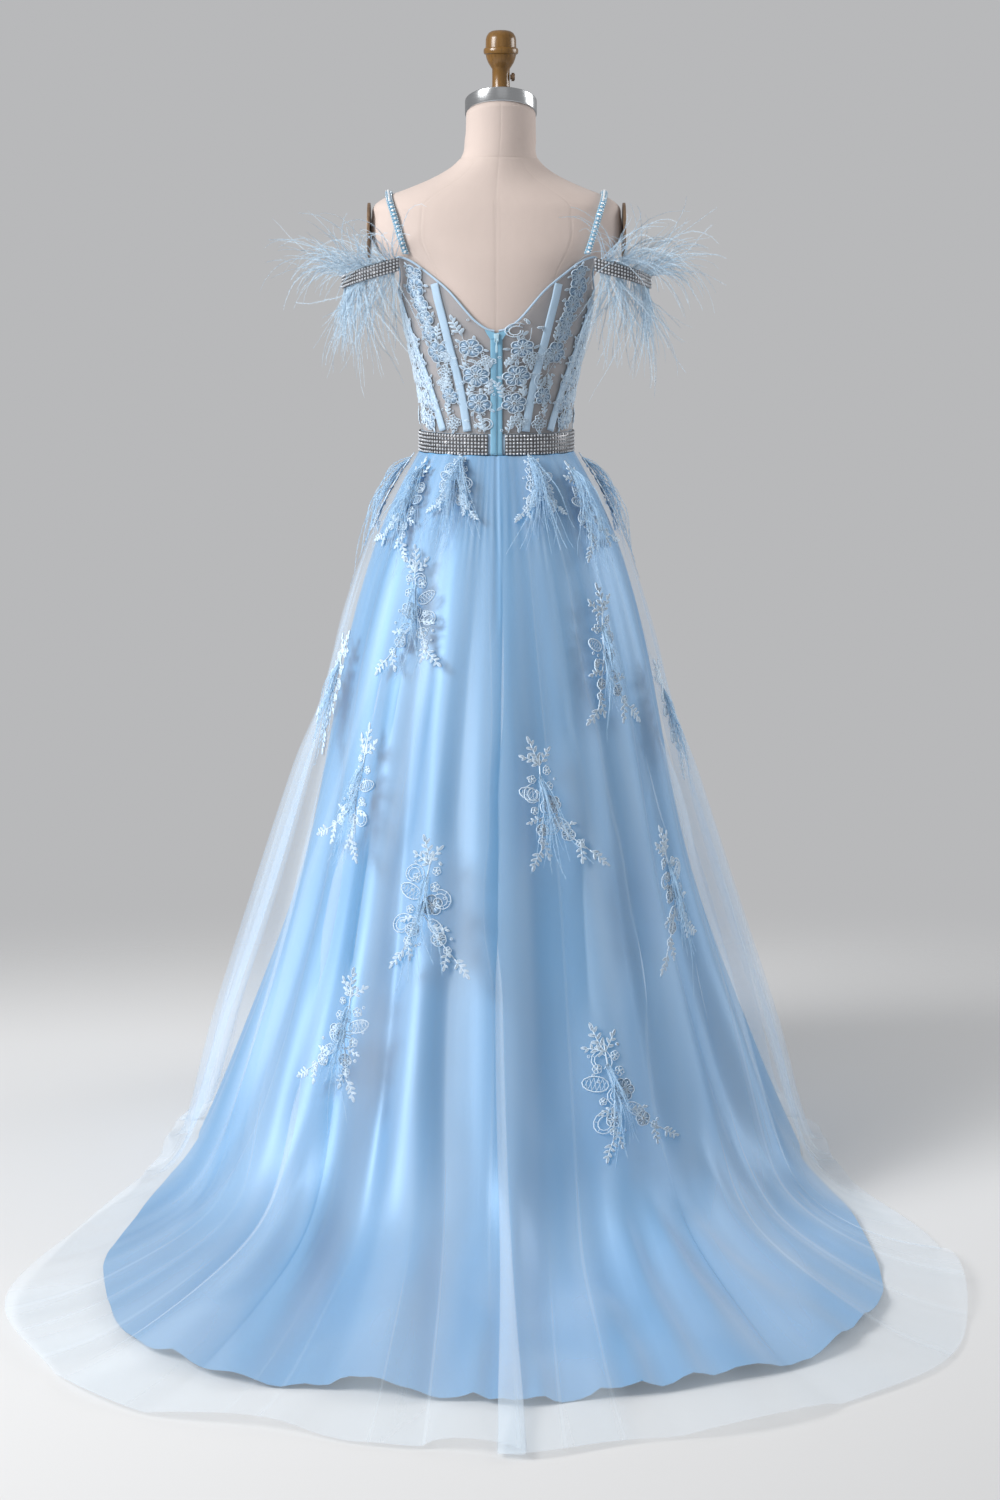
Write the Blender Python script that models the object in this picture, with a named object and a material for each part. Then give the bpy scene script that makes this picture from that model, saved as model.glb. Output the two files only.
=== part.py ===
"""A ball gown with a train on a limbless dress form, in metres with +Z up.

The origin is on the floor, under the middle of the form's pole. The wearer would face +Y, so the
zip and the train are on the -Y side and the wearer's left is -X. Directions round the body are
angles in degrees from the centre back: 90 is the wearer's right side, 180 the centre front.

Cloth is made as thin walls. Its points come from a few tables: the form's girth at some heights,
the neckline, the seams, the fall of the skirt from waist to floor and the folds in it. What lies
on a cloth, such as lace, is made from the points of that cloth, moved outwards.
"""

import math
import random
from collections import namedtuple

import bmesh
import bpy
import numpy as np
from mathutils import Matrix, Vector
from mathutils.geometry import delaunay_2d_cdt

MM = 0.001
GAP = 0.3 * MM
UP = Vector((0, 0, 1))

# ---------------------------------------------------------------- driving sizes

# Dress form, US size 2
NECK_TILT = math.radians(19)  # the neck is cut lower in front
NECK_TOP = 1.554  # height of the tilted cut at the pole axis
CAP_HEIGHT = 20 * MM
CAP_RADIUS = 53 * MM
BOSS_TOP = 1.5830
NECK_LEAN = 6.5 * MM  # the neck stands this far to the right of the pole
NECK_LEAN_HEIGHTS = (1.430, 1.540)
ARM_PLATE_X = 0.1870
ARM_PLATE_HEIGHT = 1.385
ARM_PLATE_SIZE = (36 * MM, 42 * MM)  # half depth, half height
ARM_PLATE_THICKNESS = 4 * MM
TORSO_BOTTOM = 0.800
POLE_RADIUS = 16 * MM
BASE_RADIUS = 0.170
BASE_THICKNESS = 18 * MM
TORSO_SIDES = 22
TORSO_INSET = 1.3 * MM  # keeps the form's flat facets clear of the bodice's

# Bodice and what is sewn to it
EASE = 2.2 * MM  # between the form and the bodice
MESH_WALL = 1.5 * MM
BODICE_OUT = EASE + MESH_WALL
BELT_TOP = 1.0925
BELT_BOTTOM = 1.0605
BELT_OPENING = 5.6  # half angle left open at the zip
BELT_THICKNESS = 2.6 * MM
BELT_ROWS = 6
BONING_WIDTH = 12 * MM
BONING_THICKNESS = 1.0 * MM
BINDING_SIZE = 3.2 * MM
BINDING_START = 0.4  # share of the first stretch that it leaves free beside the zip
STRAP_WIDTH = 10 * MM
STRAP_THICKNESS = 2.4 * MM
BAND_HEIGHT = 20 * MM
BAND_THICKNESS = 2.8 * MM
BAND_ROWS = 5
BAND_SEGMENTS = 12

# Zip
ZIP_TOP = 1.2405
ZIP_BOTTOM = 1.0612
TAPE_WIDTH = 8.6 * MM
TAPE_THICKNESS = 0.8 * MM
SLIDER_SIZE = (8 * MM, 3 * MM, 13 * MM)
PULL_PIVOT_HEIGHT = 1.2300
PULL_LENGTH = 18 * MM
PULL_WIDTH = 3.4 * MM
PULL_BARREL_RADIUS = 1.1 * MM

# Skirt
SKIRT_TOP = BELT_BOTTOM - GAP
SKIRT_COLUMNS = 60
SATIN_ROWS = 9
TULLE_EXTRA_ROWS = 1
SATIN_WALL = 1.2 * MM
TULLE_WALL = 1.0 * MM
FLOOR_CENTRE = -0.130  # middle of the line where the skirt meets the floor
FLOOR_HALF_WIDTH = 0.455
FLOOR_HALF_DEPTH = 0.490
TRAIN_LENGTH = 0.410
TRAIN_SPREAD_LEFT = 0.440
TRAIN_SPREAD_RIGHT = 0.400
TULLE_TRAIN = 0.130  # how far the tulle reaches past the satin at the back
TULLE_TRAIN_FLARE = 2.0  # and how much further it goes sideways
TULLE_SIDE_HEM = 0.030
TULLE_SHORT_HEM = 0.010  # how much of the tulle lies on the floor in front
TULLE_LYING_GAP = 2.5 * MM  # over the satin where both lie on the floor

# Lace and feathers
LACE_THICKNESS = 1.6 * MM
LACE_CLEAR = 0.6 * MM
WAIST_LACE_CLEAR = 3.0 * MM
BODICE_LACE_CLEAR = 2.2 * MM
FEATHER_SEED = 11
FEATHER_STAND = 10 * MM  # how far a sprig's feathers stand off the tulle
ROOT_SEGMENTS = 2  # bare stretches of tape at each end of the arm band

BodyRow = namedtuple("BodyRow", "height half_width back front squareness")
BODY = (
    BodyRow(0.790, 0.140, 0.092, 0.080, 2.2),
    BodyRow(0.820, 0.154, 0.102, 0.088, 2.2),
    BodyRow(0.880, 0.164, 0.118, 0.099, 2.2),
    BodyRow(0.950, 0.156, 0.113, 0.095, 2.2),
    BodyRow(1.010, 0.132, 0.098, 0.089, 2.2),
    BodyRow(1.052, 0.1145, 0.0895, 0.0865, 2.1),
    BodyRow(1.0765, 0.1108, 0.0880, 0.0855, 2.1),
    BodyRow(1.100, 0.1115, 0.0880, 0.0870, 2.1),
    BodyRow(1.160, 0.117, 0.091, 0.094, 2.1),
    BodyRow(1.225, 0.129, 0.098, 0.109, 2.2),
    BodyRow(1.285, 0.141, 0.101, 0.122, 2.2),
    BodyRow(1.330, 0.152, 0.099, 0.112, 2.2),
    BodyRow(1.352, 0.172, 0.096, 0.104, 2.2),
    BodyRow(1.370, 0.185, 0.092, 0.094, 2.2),
    BodyRow(1.405, 0.186, 0.084, 0.080, 2.2),
    BodyRow(1.425, 0.180, 0.078, 0.071, 2.2),
    BodyRow(1.437, 0.161, 0.073, 0.066, 2.1),
    BodyRow(1.448, 0.132, 0.068, 0.063, 2.1),
    BodyRow(1.462, 0.099, 0.063, 0.060, 2.0),
    BodyRow(1.477, 0.073, 0.059, 0.057, 2.0),
    BodyRow(1.492, 0.058, 0.056, 0.055, 2.0),
    BodyRow(1.520, 0.0535, 0.0535, 0.0535, 2.0),
    BodyRow(1.570, 0.0520, 0.0520, 0.0520, 2.0),
)
TORSO_RINGS = (
    0.800, 0.830, 0.880, 0.950, 1.010, 1.050, 1.075, 1.100, 1.140, 1.190, 1.240, 1.285, 1.325,
    1.350, 1.370, 1.405, 1.425, 1.437, 1.448, 1.464, 1.492, 1.520,
)

EdgePoint = namedtuple("EdgePoint", "angle height")
TOP_EDGE = (  # the open V at the back, the strap, the underarm, and the front neckline
    EdgePoint(0, 1.2405),
    EdgePoint(4, 1.2430),
    EdgePoint(10, 1.2525),
    EdgePoint(27, 1.2990),
    EdgePoint(40, 1.3240),
    EdgePoint(50, 1.3440),
    EdgePoint(57, 1.3460),
    EdgePoint(68, 1.3230),
    EdgePoint(80, 1.3030),
    EdgePoint(94, 1.2950),
    EdgePoint(108, 1.3020),
    EdgePoint(120, 1.3320),
    EdgePoint(128, 1.3460),
    EdgePoint(136, 1.3410),
    EdgePoint(155, 1.3130),
    EdgePoint(180, 1.2900),
)

Seam = namedtuple("Seam", "waist top")  # angle at the waist and at the top edge
CENTRE_BACK = Seam(0.0, 0.0)
INNER_SEAM = Seam(20.5, 36.0)
OUTER_SEAM = Seam(42.0, 79.0)
SIDE_SEAM = Seam(76.0, 104.0)
FRONT_SEAM = Seam(146.0, 134.0)

BodicePanel = namedtuple("BodicePanel", "name seam other columns")
BACK_PANELS = (
    BodicePanel("back", CENTRE_BACK, INNER_SEAM, 4),
    BodicePanel("side_back", INNER_SEAM, OUTER_SEAM, 4),
    BodicePanel("side", OUTER_SEAM, SIDE_SEAM, 3),
    BodicePanel("side_front", SIDE_SEAM, FRONT_SEAM, 5),
)
FRONT_COLUMNS = 8
BODICE_ROWS = 6

Fall = namedtuple("Fall", "height side centre tulle_gap")  # shares of the way out to the floor line
SKIRT_FALL = (
    Fall(SKIRT_TOP, 0.000, 0.000, 0.5 * MM),
    Fall(1.020, 0.068, 0.050, 4.5 * MM),
    Fall(0.970, 0.145, 0.115, 7.0 * MM),
    Fall(0.890, 0.225, 0.205, 10 * MM),
    Fall(0.790, 0.300, 0.300, 13 * MM),
    Fall(0.680, 0.356, 0.385, 20 * MM),
    Fall(0.570, 0.406, 0.455, 34 * MM),
    Fall(0.460, 0.466, 0.530, 43 * MM),
    Fall(0.350, 0.556, 0.615, 45 * MM),
    Fall(0.240, 0.674, 0.715, 42 * MM),
    Fall(0.130, 0.806, 0.835, 36 * MM),
    Fall(0.050, 0.914, 0.935, 30 * MM),
    Fall(0.000, 1.000, 1.000, 28 * MM),
)

Fold = namedtuple("Fold", "angle half_width depth slant")  # crest, outwards; slant in degrees to the hem
FOLDS = (
    Fold(4, 11, 10 * MM, -2),
    Fold(25, 12, 15 * MM, 3),
    Fold(47, 11, 17 * MM, 2),
    Fold(70, 12, 20 * MM, 0),
    Fold(93, 11, 15 * MM, -2),
    Fold(116, 12, 17 * MM, 0),
    Fold(140, 13, 15 * MM, 2),
    Fold(164, 11, 12 * MM, 0),
    Fold(187, 12, 14 * MM, 0),
    Fold(212, 13, 16 * MM, -2),
    Fold(236, 12, 14 * MM, 0),
    Fold(259, 11, 17 * MM, 2),
    Fold(282, 12, 20 * MM, 3),
    Fold(304, 10, 22 * MM, 4),
    Fold(323, 10, 21 * MM, 3),
    Fold(342, 10, 16 * MM, 0),
)
FOLD_HEIGHTS = (0.0, 0.12, 0.45, 0.80, 1.00, SKIRT_TOP)
FOLD_GROWTH = (0.55, 1.00, 0.95, 0.45, 0.15, 0.00)
FOLD_SHARPNESS = 1.5
FLOOR_RIDGE = 0.55  # share of a fold's depth that still stands up on the floor
TULLE_WAVES = 20
TULLE_WAVE_SHARE = 0.30  # of the gap between tulle and satin

ArmLoop = namedtuple("ArmLoop", "across along height")  # middle line of the right arm band
ARM_LOOP = (
    ArmLoop(0.1430, -0.0670, 1.3385),
    ArmLoop(0.1660, -0.0670, 1.3320),
    ArmLoop(0.1950, -0.0560, 1.3240),
    ArmLoop(0.2180, -0.0340, 1.3160),
    ArmLoop(0.2290, 0.0000, 1.3110),
    ArmLoop(0.2200, 0.0360, 1.3160),
    ArmLoop(0.1970, 0.0610, 1.3250),
    ArmLoop(0.1680, 0.0760, 1.3340),
    ArmLoop(0.1440, 0.0880, 1.3400),
)

StrapPoint = namedtuple("StrapPoint", "across height")
STRAP_BACK = (
    StrapPoint(0.1325, 1.3530),
    StrapPoint(0.1390, 1.3720),
    StrapPoint(0.1460, 1.3950),
    StrapPoint(0.1520, 1.4150),
    StrapPoint(0.1570, 1.4300),
)
STRAP_TOP = StrapPoint(0.1600, 1.4430)
STRAP_CLEAR = 2.2 * MM

Sprig = namedtuple("Sprig", "name angle height length spread lean turn")
SKIRT_SPRIGS = (
    Sprig("upper_left", -36, 0.850, 0.150, 0.075, 0.014, -8),
    Sprig("upper_right", 43, 0.785, 0.160, 0.070, -0.012, 8),
    Sprig("middle_left", -42, 0.600, 0.150, 0.070, 0.016, 4),
    Sprig("middle_right", 15, 0.595, 0.150, 0.080, -0.014, -10),
    Sprig("lower_left", -14, 0.465, 0.150, 0.090, -0.012, -2),
    Sprig("lower_right", 44, 0.455, 0.140, 0.070, 0.012, 4),
    Sprig("hem_left", -32, 0.290, 0.140, 0.080, 0.012, 8),
    Sprig("hem_right", 24, 0.225, 0.150, 0.095, -0.014, -16),
)
WAIST_SPRIGS = (
    Sprig("waist_left", -57, 0.978, 0.130, 0.048, 0.006, 4),
    Sprig("waist_back_left", -20, 1.018, 0.075, 0.052, -0.004, 0),
    Sprig("waist_back_right", 21, 1.015, 0.080, 0.052, 0.004, 0),
    Sprig("waist_right", 55, 0.972, 0.120, 0.048, -0.006, -4),
    Sprig("waist_front_left", -140, 0.998, 0.100, 0.055, 0.005, 0),
    Sprig("waist_front_right", 140, 0.998, 0.100, 0.055, -0.005, 0),
)
BODICE_SPRIGS = (
    Sprig("back", 11.5, 1.180, 0.140, 0.033, 0.003, 0),
    Sprig("side_back", 42.0, 1.215, 0.190, 0.046, -0.004, 14),
)


# ---------------------------------------------------------------- curves and the body

def smooth(at, places, values):
    """A smooth curve through the points (places, values), read at one place."""
    last = len(places) - 2
    cell = min(max(int(np.searchsorted(places, at)) - 1, 0), last)
    slopes = np.gradient(np.array(values, float), np.array(places, float))
    span = places[cell + 1] - places[cell]
    s = min(max((at - places[cell]) / span, 0.0), 1.0)
    start = (1 + 2 * s) * (1 - s) ** 2 * values[cell] + s * (1 - s) ** 2 * span * slopes[cell]
    end = s * s * (3 - 2 * s) * values[cell + 1] + s * s * (s - 1) * span * slopes[cell + 1]
    return start + end


def smooth_column(rows, column, at, key="height"):
    """The named column of a table of rows, read smoothly at one value of its key column."""
    return smooth(at, [getattr(row, key) for row in rows], [getattr(row, column) for row in rows])


def ease(share):
    """0 to 1 with a soft start and end."""
    share = min(max(share, 0.0), 1.0)
    return share * share * (3 - 2 * share)


def blend(a, b, share):
    return a + (b - a) * share


def body_point(height, angle, out=0.0):
    """A point of the form's skin, moved outwards."""
    squareness = smooth_column(BODY, "squareness", height)
    half_width = smooth_column(BODY, "half_width", height) + out
    across = math.sin(math.radians(angle))
    along = -math.cos(math.radians(angle))
    depth = smooth_column(BODY, "back" if along < 0 else "front", height) + out
    power = 2 / squareness
    x = neck_shift(height) + half_width * math.copysign(abs(across) ** power, across)
    y = depth * math.copysign(abs(along) ** power, along)
    return Vector((x, y, height))


def neck_shift(height):
    """How far the middle of the form is to the right of the pole."""
    low, high = NECK_LEAN_HEIGHTS
    return NECK_LEAN * ease((height - low) / (high - low))


def body_out(height, angle):
    """The level direction straight out of the form's skin."""
    step = 1.0
    along_skin = body_point(height, angle + step) - body_point(height, angle - step)
    return along_skin.cross(UP).normalized()


def body_normal(height, angle):
    """The direction straight out of the form's skin, with its slope."""
    step = 1.0
    rise = 2 * MM
    round_skin = body_point(height, angle + step) - body_point(height, angle - step)
    up_skin = body_point(height + rise, angle) - body_point(height - rise, angle)
    return round_skin.cross(up_skin).normalized()


def skin_depth(across, height):
    """How far behind and in front of the middle the form's skin is at this place."""
    half_width = smooth_column(BODY, "half_width", height)
    squareness = smooth_column(BODY, "squareness", height)
    share = max(0.0, 1 - min(abs(across) / half_width, 1.0) ** squareness) ** (1 / squareness)
    back = smooth_column(BODY, "back", height)
    front = smooth_column(BODY, "front", height)
    return back * share, front * share


def top_edge(angle):
    """The height of the bodice's top edge, the same on both sides of the centre back."""
    off_back = abs((angle + 180) % 360 - 180)
    return smooth_column(TOP_EDGE, "height", off_back, key="angle")


# ---------------------------------------------------------------- making solids

def put_origin(made, place):
    """Moves an object's origin, such as onto the axis that it turns about, and not its shape."""
    made.data.transform(Matrix.Translation(-place))
    made.location = place


def material(name, colour, roughness, metallic=0.0):
    look = bpy.data.materials.get(name) or bpy.data.materials.new(name)
    look.use_nodes = True
    shader = look.node_tree.nodes["Principled BSDF"]
    shader.inputs["Base Color"].default_value = (*colour, 1)
    shader.inputs["Roughness"].default_value = roughness
    shader.inputs["Metallic"].default_value = metallic
    return look


def solid(name, points, faces, look):
    """One closed object of these points and faces, with its faces turned outwards."""
    mesh = bpy.data.meshes.new(name)
    mesh.from_pydata([tuple(point) for point in points], [], faces)
    work = bmesh.new()
    work.from_mesh(mesh)
    bmesh.ops.recalc_face_normals(work, faces=work.faces)
    if work.calc_volume(signed=True) < 0:
        bmesh.ops.reverse_faces(work, faces=work.faces)
    work.to_mesh(mesh)
    work.free()
    mesh.materials.append(look)
    made = bpy.data.objects.new(name, mesh)
    bpy.context.scene.collection.objects.link(made)
    return made


def wall(name, outer, inner, look, mirrored=None):
    """A closed wall between two grids of points, each a list of rows.

    The quads of the columns marked as mirrored are split along their other diagonal.
    """
    rows = len(outer)
    columns = len(outer[0])
    points = [point for row in outer for point in row]
    inside = len(points)
    points += [point for row in inner for point in row]
    faces = []

    def at(row, column):
        return row * columns + column

    def quad(a, b, c, d):
        faces.append((a, b, c))
        faces.append((a, c, d))

    for row in range(rows - 1):
        for column in range(columns - 1):
            a, b = at(row, column), at(row, column + 1)
            d, c = at(row + 1, column), at(row + 1, column + 1)
            if mirrored and mirrored[column]:
                a, b, c, d = b, c, d, a
            quad(a, b, c, d)
            quad(a + inside, d + inside, c + inside, b + inside)
    for column in range(columns - 1):
        for row, turned in ((0, False), (rows - 1, True)):
            a, b = at(row, column), at(row, column + 1)
            ends = (b, a) if turned else (a, b)
            quad(ends[1], ends[0], ends[0] + inside, ends[1] + inside)
    for row in range(rows - 1):
        for column, turned in ((0, True), (columns - 1, False)):
            a, b = at(row, column), at(row + 1, column)
            ends = (b, a) if turned else (a, b)
            quad(ends[1], ends[0], ends[0] + inside, ends[1] + inside)
    return solid(name, points, faces, look)


def lofted(name, rings, look, joined=False):
    """A solid through rings of equal count, closed at its ends or, if joined, into a loop."""
    count = len(rings[0])
    points = [point for ring in rings for point in ring]
    faces = []
    for ring in range(len(rings) if joined else len(rings) - 1):
        after = (ring + 1) % len(rings)
        for k in range(count):
            beside = (k + 1) % count
            faces.append(
                (ring * count + k, ring * count + beside, after * count + beside, after * count + k)
            )
    if not joined:
        faces.append(tuple(range(count)))
        faces.append(tuple(range((len(rings) - 1) * count, len(rings) * count)))
    return solid(name, points, faces, look)


Station = namedtuple("Station", "place out along")


def swept(name, stations, section, look, joined=False):
    """A solid of one flat section, of (out, along) pairs, carried through stations."""
    rings = [[s.place + s.out * out + s.along * along for out, along in section] for s in stations]
    return lofted(name, rings, look, joined)


def bar(width, thickness):
    """A plain section, standing outwards from its place."""
    half = width / 2
    return ((0, -half), (thickness, -half), (thickness, half), (0, half))


def ribbed_bar(width, thickness, ribs):
    """A section with rounded ribs on its outer side, one for each row of stones."""
    pitch = width / ribs
    valley = 0.55 * thickness
    section = [(0, width / 2), (0, -width / 2)]
    for rib in range(ribs):
        start = rib * pitch - width / 2
        section.append((valley, start + 0.04 * pitch))
        section.append((thickness, start + 0.5 * pitch))
    section.append((valley, width / 2 - 0.04 * pitch))
    return section


def turned(name, profile, sides, look, centre=(0, 0)):
    """A solid of revolution about Z through centre; the profile is (radius, height) pairs."""
    rings = []
    for radius, height in profile:
        ring = []
        for k in range(sides):
            angle = 2 * math.pi * k / sides
            x = centre[0] + radius * math.cos(angle)
            y = centre[1] + radius * math.sin(angle)
            ring.append(Vector((x, y, height)))
        rings.append(ring)
    return lofted(name, rings, look)


def unite(target, others):
    """Boolean union of helper objects into one node."""
    for other in others:
        union = target.modifiers.new("union", "BOOLEAN")
        union.operation = "UNION"
        union.object = other
        other.hide_render = True
        other.display_type = "WIRE"


# ---------------------------------------------------------------- dress form

def neck_cut(point):
    """The height of the neck's tilted cut over a point."""
    return NECK_TOP - math.tan(NECK_TILT) * point[1]


def form_torso(look):
    rings = []
    angles = [360 * k / TORSO_SIDES for k in range(TORSO_SIDES)]
    for height in TORSO_RINGS:
        rings.append([body_point(height, angle, -TORSO_INSET) for angle in angles])
    top = [body_point(NECK_TOP, angle, -TORSO_INSET) for angle in angles]
    rings.append([Vector((p.x, p.y, neck_cut(p) - GAP)) for p in top])
    lofted("form_torso", rings, look)


def form_neck_cap(look):
    """A tilted band with a low crown, and a level boss that the finial stands on."""
    sides = 20
    crown = 1 * MM
    rings = []
    for radius, lift in (
        (CAP_RADIUS, 0),
        (CAP_RADIUS, CAP_HEIGHT - 1.5 * MM),
        (CAP_RADIUS - 1.5 * MM, CAP_HEIGHT),
        (0.6 * CAP_RADIUS, CAP_HEIGHT + crown),
    ):
        rings.append(cap_ring(radius, lift, sides))
    cap = lofted("form_neck_cap", rings, look)
    profile = ((11 * MM, NECK_TOP + CAP_HEIGHT / 2), (11 * MM, BOSS_TOP))
    boss = turned("cap_boss", profile, 16, look, (NECK_LEAN, 0))
    unite(cap, [boss])


def cap_ring(radius, lift, sides):
    ring = []
    for k in range(sides):
        angle = 2 * math.pi * k / sides
        point = Vector((NECK_LEAN + radius * math.cos(angle), radius * math.sin(angle), 0))
        point.z = neck_cut(point) + lift
        ring.append(point)
    return ring


FINIAL_PROFILE = (  # radius, height over the boss
    (16.5 * MM, 0 * MM),
    (16.5 * MM, 8 * MM),
    (13.0 * MM, 11 * MM),
    (13.0 * MM, 36 * MM),
    (19.0 * MM, 46 * MM),
    (22.5 * MM, 57 * MM),
    (25.5 * MM, 59 * MM),
    (25.5 * MM, 64 * MM),
    (22.5 * MM, 66.5 * MM),
    (22.5 * MM, 78 * MM),
    (18.5 * MM, 87 * MM),
    (9.0 * MM, 91 * MM),
)
SCREW_HEIGHT = 1.6080
SCREW_PROFILE = ((4.0, 14.0), (6.0, 15.2), (6.0, 19.0), (5.0, 20.5))  # radius, distance out in mm
SCREW_GRIP = 0.86  # radius between the knurls, as a share


def form_finial(look):
    foot = BOSS_TOP + GAP
    turned("form_finial", [(r, foot + h) for r, h in FINIAL_PROFILE], 16, look, (NECK_LEAN, 0))


def form_finial_screw(look):
    """A thumbscrew with a waisted head, on the right of the finial's stem, turning about X."""
    sides = 12
    rings = []
    for radius, out in SCREW_PROFILE:
        ring = []
        for k in range(sides):
            angle = 2 * math.pi * k / sides
            grip = radius * MM * (1.0 if k % 2 else SCREW_GRIP)
            y = grip * math.cos(angle)
            z = SCREW_HEIGHT + grip * math.sin(angle)
            ring.append(Vector((NECK_LEAN + out * MM, y, z)))
        rings.append(ring)
    screw = lofted("form_finial_screw", rings, look)
    put_origin(screw, Vector((NECK_LEAN + SCREW_PROFILE[0][1] * MM, 0, SCREW_HEIGHT)))


def form_arm_plates(look):
    for side, name in ((-1, "form_arm_plate_L"), (1, "form_arm_plate_R")):
        rings = []
        for out, inset in ((0, 0), (ARM_PLATE_THICKNESS - MM, 0), (ARM_PLATE_THICKNESS, MM)):
            ring = []
            for k in range(16):
                angle = 2 * math.pi * k / 16
                y = (ARM_PLATE_SIZE[0] - inset) * math.cos(angle)
                z = ARM_PLATE_HEIGHT + (ARM_PLATE_SIZE[1] - inset) * math.sin(angle)
                ring.append(Vector((side * (ARM_PLATE_X + out), y, z)))
            rings.append(ring)
        lofted(name, rings, look)


def form_stand(look):
    """The pole and its round base in one casting, hidden inside the skirt."""
    profile = (
        (BASE_RADIUS - 3 * MM, 0),
        (BASE_RADIUS, 3 * MM),
        (BASE_RADIUS - 4 * MM, BASE_THICKNESS * 0.6),
        (0.3 * BASE_RADIUS, BASE_THICKNESS),
        (0.16 * BASE_RADIUS, BASE_THICKNESS * 2),
        (POLE_RADIUS, BASE_THICKNESS * 3),
        (POLE_RADIUS, TORSO_BOTTOM - GAP),
    )
    turned("form_stand", profile, 18, look)


# ---------------------------------------------------------------- bodice

def between(seam, other, share):
    return Seam(blend(seam.waist, other.waist, share), blend(seam.top, other.top, share))


def seam_point(seam, share, out):
    """A point of a line that runs up the bodice, from the belt to the top edge."""
    angle = blend(seam.waist, seam.top, share)
    height = blend(BELT_TOP + 2 * GAP, top_edge(seam.top), share)
    return body_point(height, angle, out)


def bodice_panel(name, seam, other, columns, look):
    grids = []
    for out in (BODICE_OUT, EASE):
        grid = []
        for row in range(BODICE_ROWS + 1):
            share = 1 - row / BODICE_ROWS
            line = [between(seam, other, column / columns) for column in range(columns + 1)]
            grid.append([seam_point(part, share, out) for part in line])
        grids.append(parted(grid))
    wall(name, grids[0], grids[1], look)


def parted(grid):
    """The same rows with their first and last points drawn in by half the gap at a seam."""
    rows = []
    for row in grid:
        first = row[0] + (row[1] - row[0]).normalized() * GAP / 2
        last = row[-1] + (row[-2] - row[-1]).normalized() * GAP / 2
        rows.append([first, *row[1:-1], last])
    return rows


def turned_to(side, seam):
    return Seam(side * seam.waist, side * seam.top)


def bodice(look):
    for side, end in ((-1, "L"), (1, "R")):
        for panel in BACK_PANELS:
            lines = (turned_to(side, panel.seam), turned_to(side, panel.other))
            bodice_panel(f"bodice_{panel.name}_{end}", *lines, panel.columns, look)
    opposite = Seam(360 - FRONT_SEAM.waist, 360 - FRONT_SEAM.top)
    bodice_panel("bodice_front", FRONT_SEAM, opposite, FRONT_COLUMNS, look)


def boning_channels(look):
    """Covered bones stitched over the seams."""
    for side, end in ((-1, "L"), (1, "R")):
        for seam, where in ((INNER_SEAM, "inner"), (OUTER_SEAM, "outer"), (FRONT_SEAM, "front")):
            line = turned_to(side, seam)
            places = [seam_point(line, row / BODICE_ROWS, BODICE_OUT) for row in range(BODICE_ROWS + 1)]
            places[0] = places[0].lerp(places[1], 0.05)
            places[-1] = places[-1].lerp(places[-2], 0.12)
            stations = []
            for row, place in enumerate(places):
                ahead = places[min(row + 1, BODICE_ROWS)] - places[max(row - 1, 0)]
                out = body_normal(place.z, blend(line.waist, line.top, row / BODICE_ROWS))
                stations.append(Station(place + out * 3 * GAP, out, ahead.cross(out).normalized()))
            swept(f"boning_{where}_{end}", stations, bar(BONING_WIDTH, BONING_THICKNESS), look)


def neckline_binding(look):
    """One bias strip along the whole top edge, from the zip round the front and back to the zip."""
    angles = []
    for panel in BACK_PANELS:
        for column in range(panel.columns):
            angles.append(between(panel.seam, panel.other, column / panel.columns).top)
    opposite = 360 - FRONT_SEAM.top
    front = [blend(FRONT_SEAM.top, opposite, column / FRONT_COLUMNS) for column in range(FRONT_COLUMNS + 1)]
    angles += front + [360 - angle for angle in reversed(angles)]
    half = BINDING_SIZE / 2
    places = [body_point(top_edge(angle), angle, BODICE_OUT - MESH_WALL / 2) for angle in angles]
    places[0] = places[0].lerp(places[1], BINDING_START)
    places[-1] = places[-1].lerp(places[-2], BINDING_START)
    stations = []
    for k, place in enumerate(places):
        ahead = places[min(k + 1, len(places) - 1)] - places[max(k - 1, 0)]
        out = body_normal(place.z, angles[k])
        off_edge = out.cross(ahead).normalized()
        stations.append(Station(place + off_edge * (half + 2 * GAP), out, off_edge))
    section = ((-half, 0), (0, -half), (half, 0), (0, half))
    swept("neckline_binding", stations, section, look)


def strap_places(side):
    """The strap's middle line from its back root over the shoulder to its front root."""
    back = []
    front = []
    for point in STRAP_BACK:
        behind, before = skin_depth(point.across - STRAP_WIDTH / 2, point.height)
        back.append(Vector((side * point.across, -behind - STRAP_CLEAR, point.height)))
        front.append(Vector((side * point.across, before + STRAP_CLEAR, point.height)))
    top = Vector((side * STRAP_TOP.across, 0, STRAP_TOP.height))
    return [*back, top, *reversed(front)]


def straps(look):
    for side, end in ((-1, "L"), (1, "R")):
        places = strap_places(side)
        stations = []
        for k, place in enumerate(places):
            ahead = places[min(k + 1, len(places) - 1)] - places[max(k - 1, 0)]
            across = Vector((1, 0, 0))
            out = ahead.cross(across).normalized()
            if out.z < 0 or (abs(out.z) < 0.3 and out.y * place.y < 0):
                out = -out
            stations.append(Station(place, out, across))
        swept(f"strap_{end}", stations, bar(STRAP_WIDTH, STRAP_THICKNESS), look)


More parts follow.
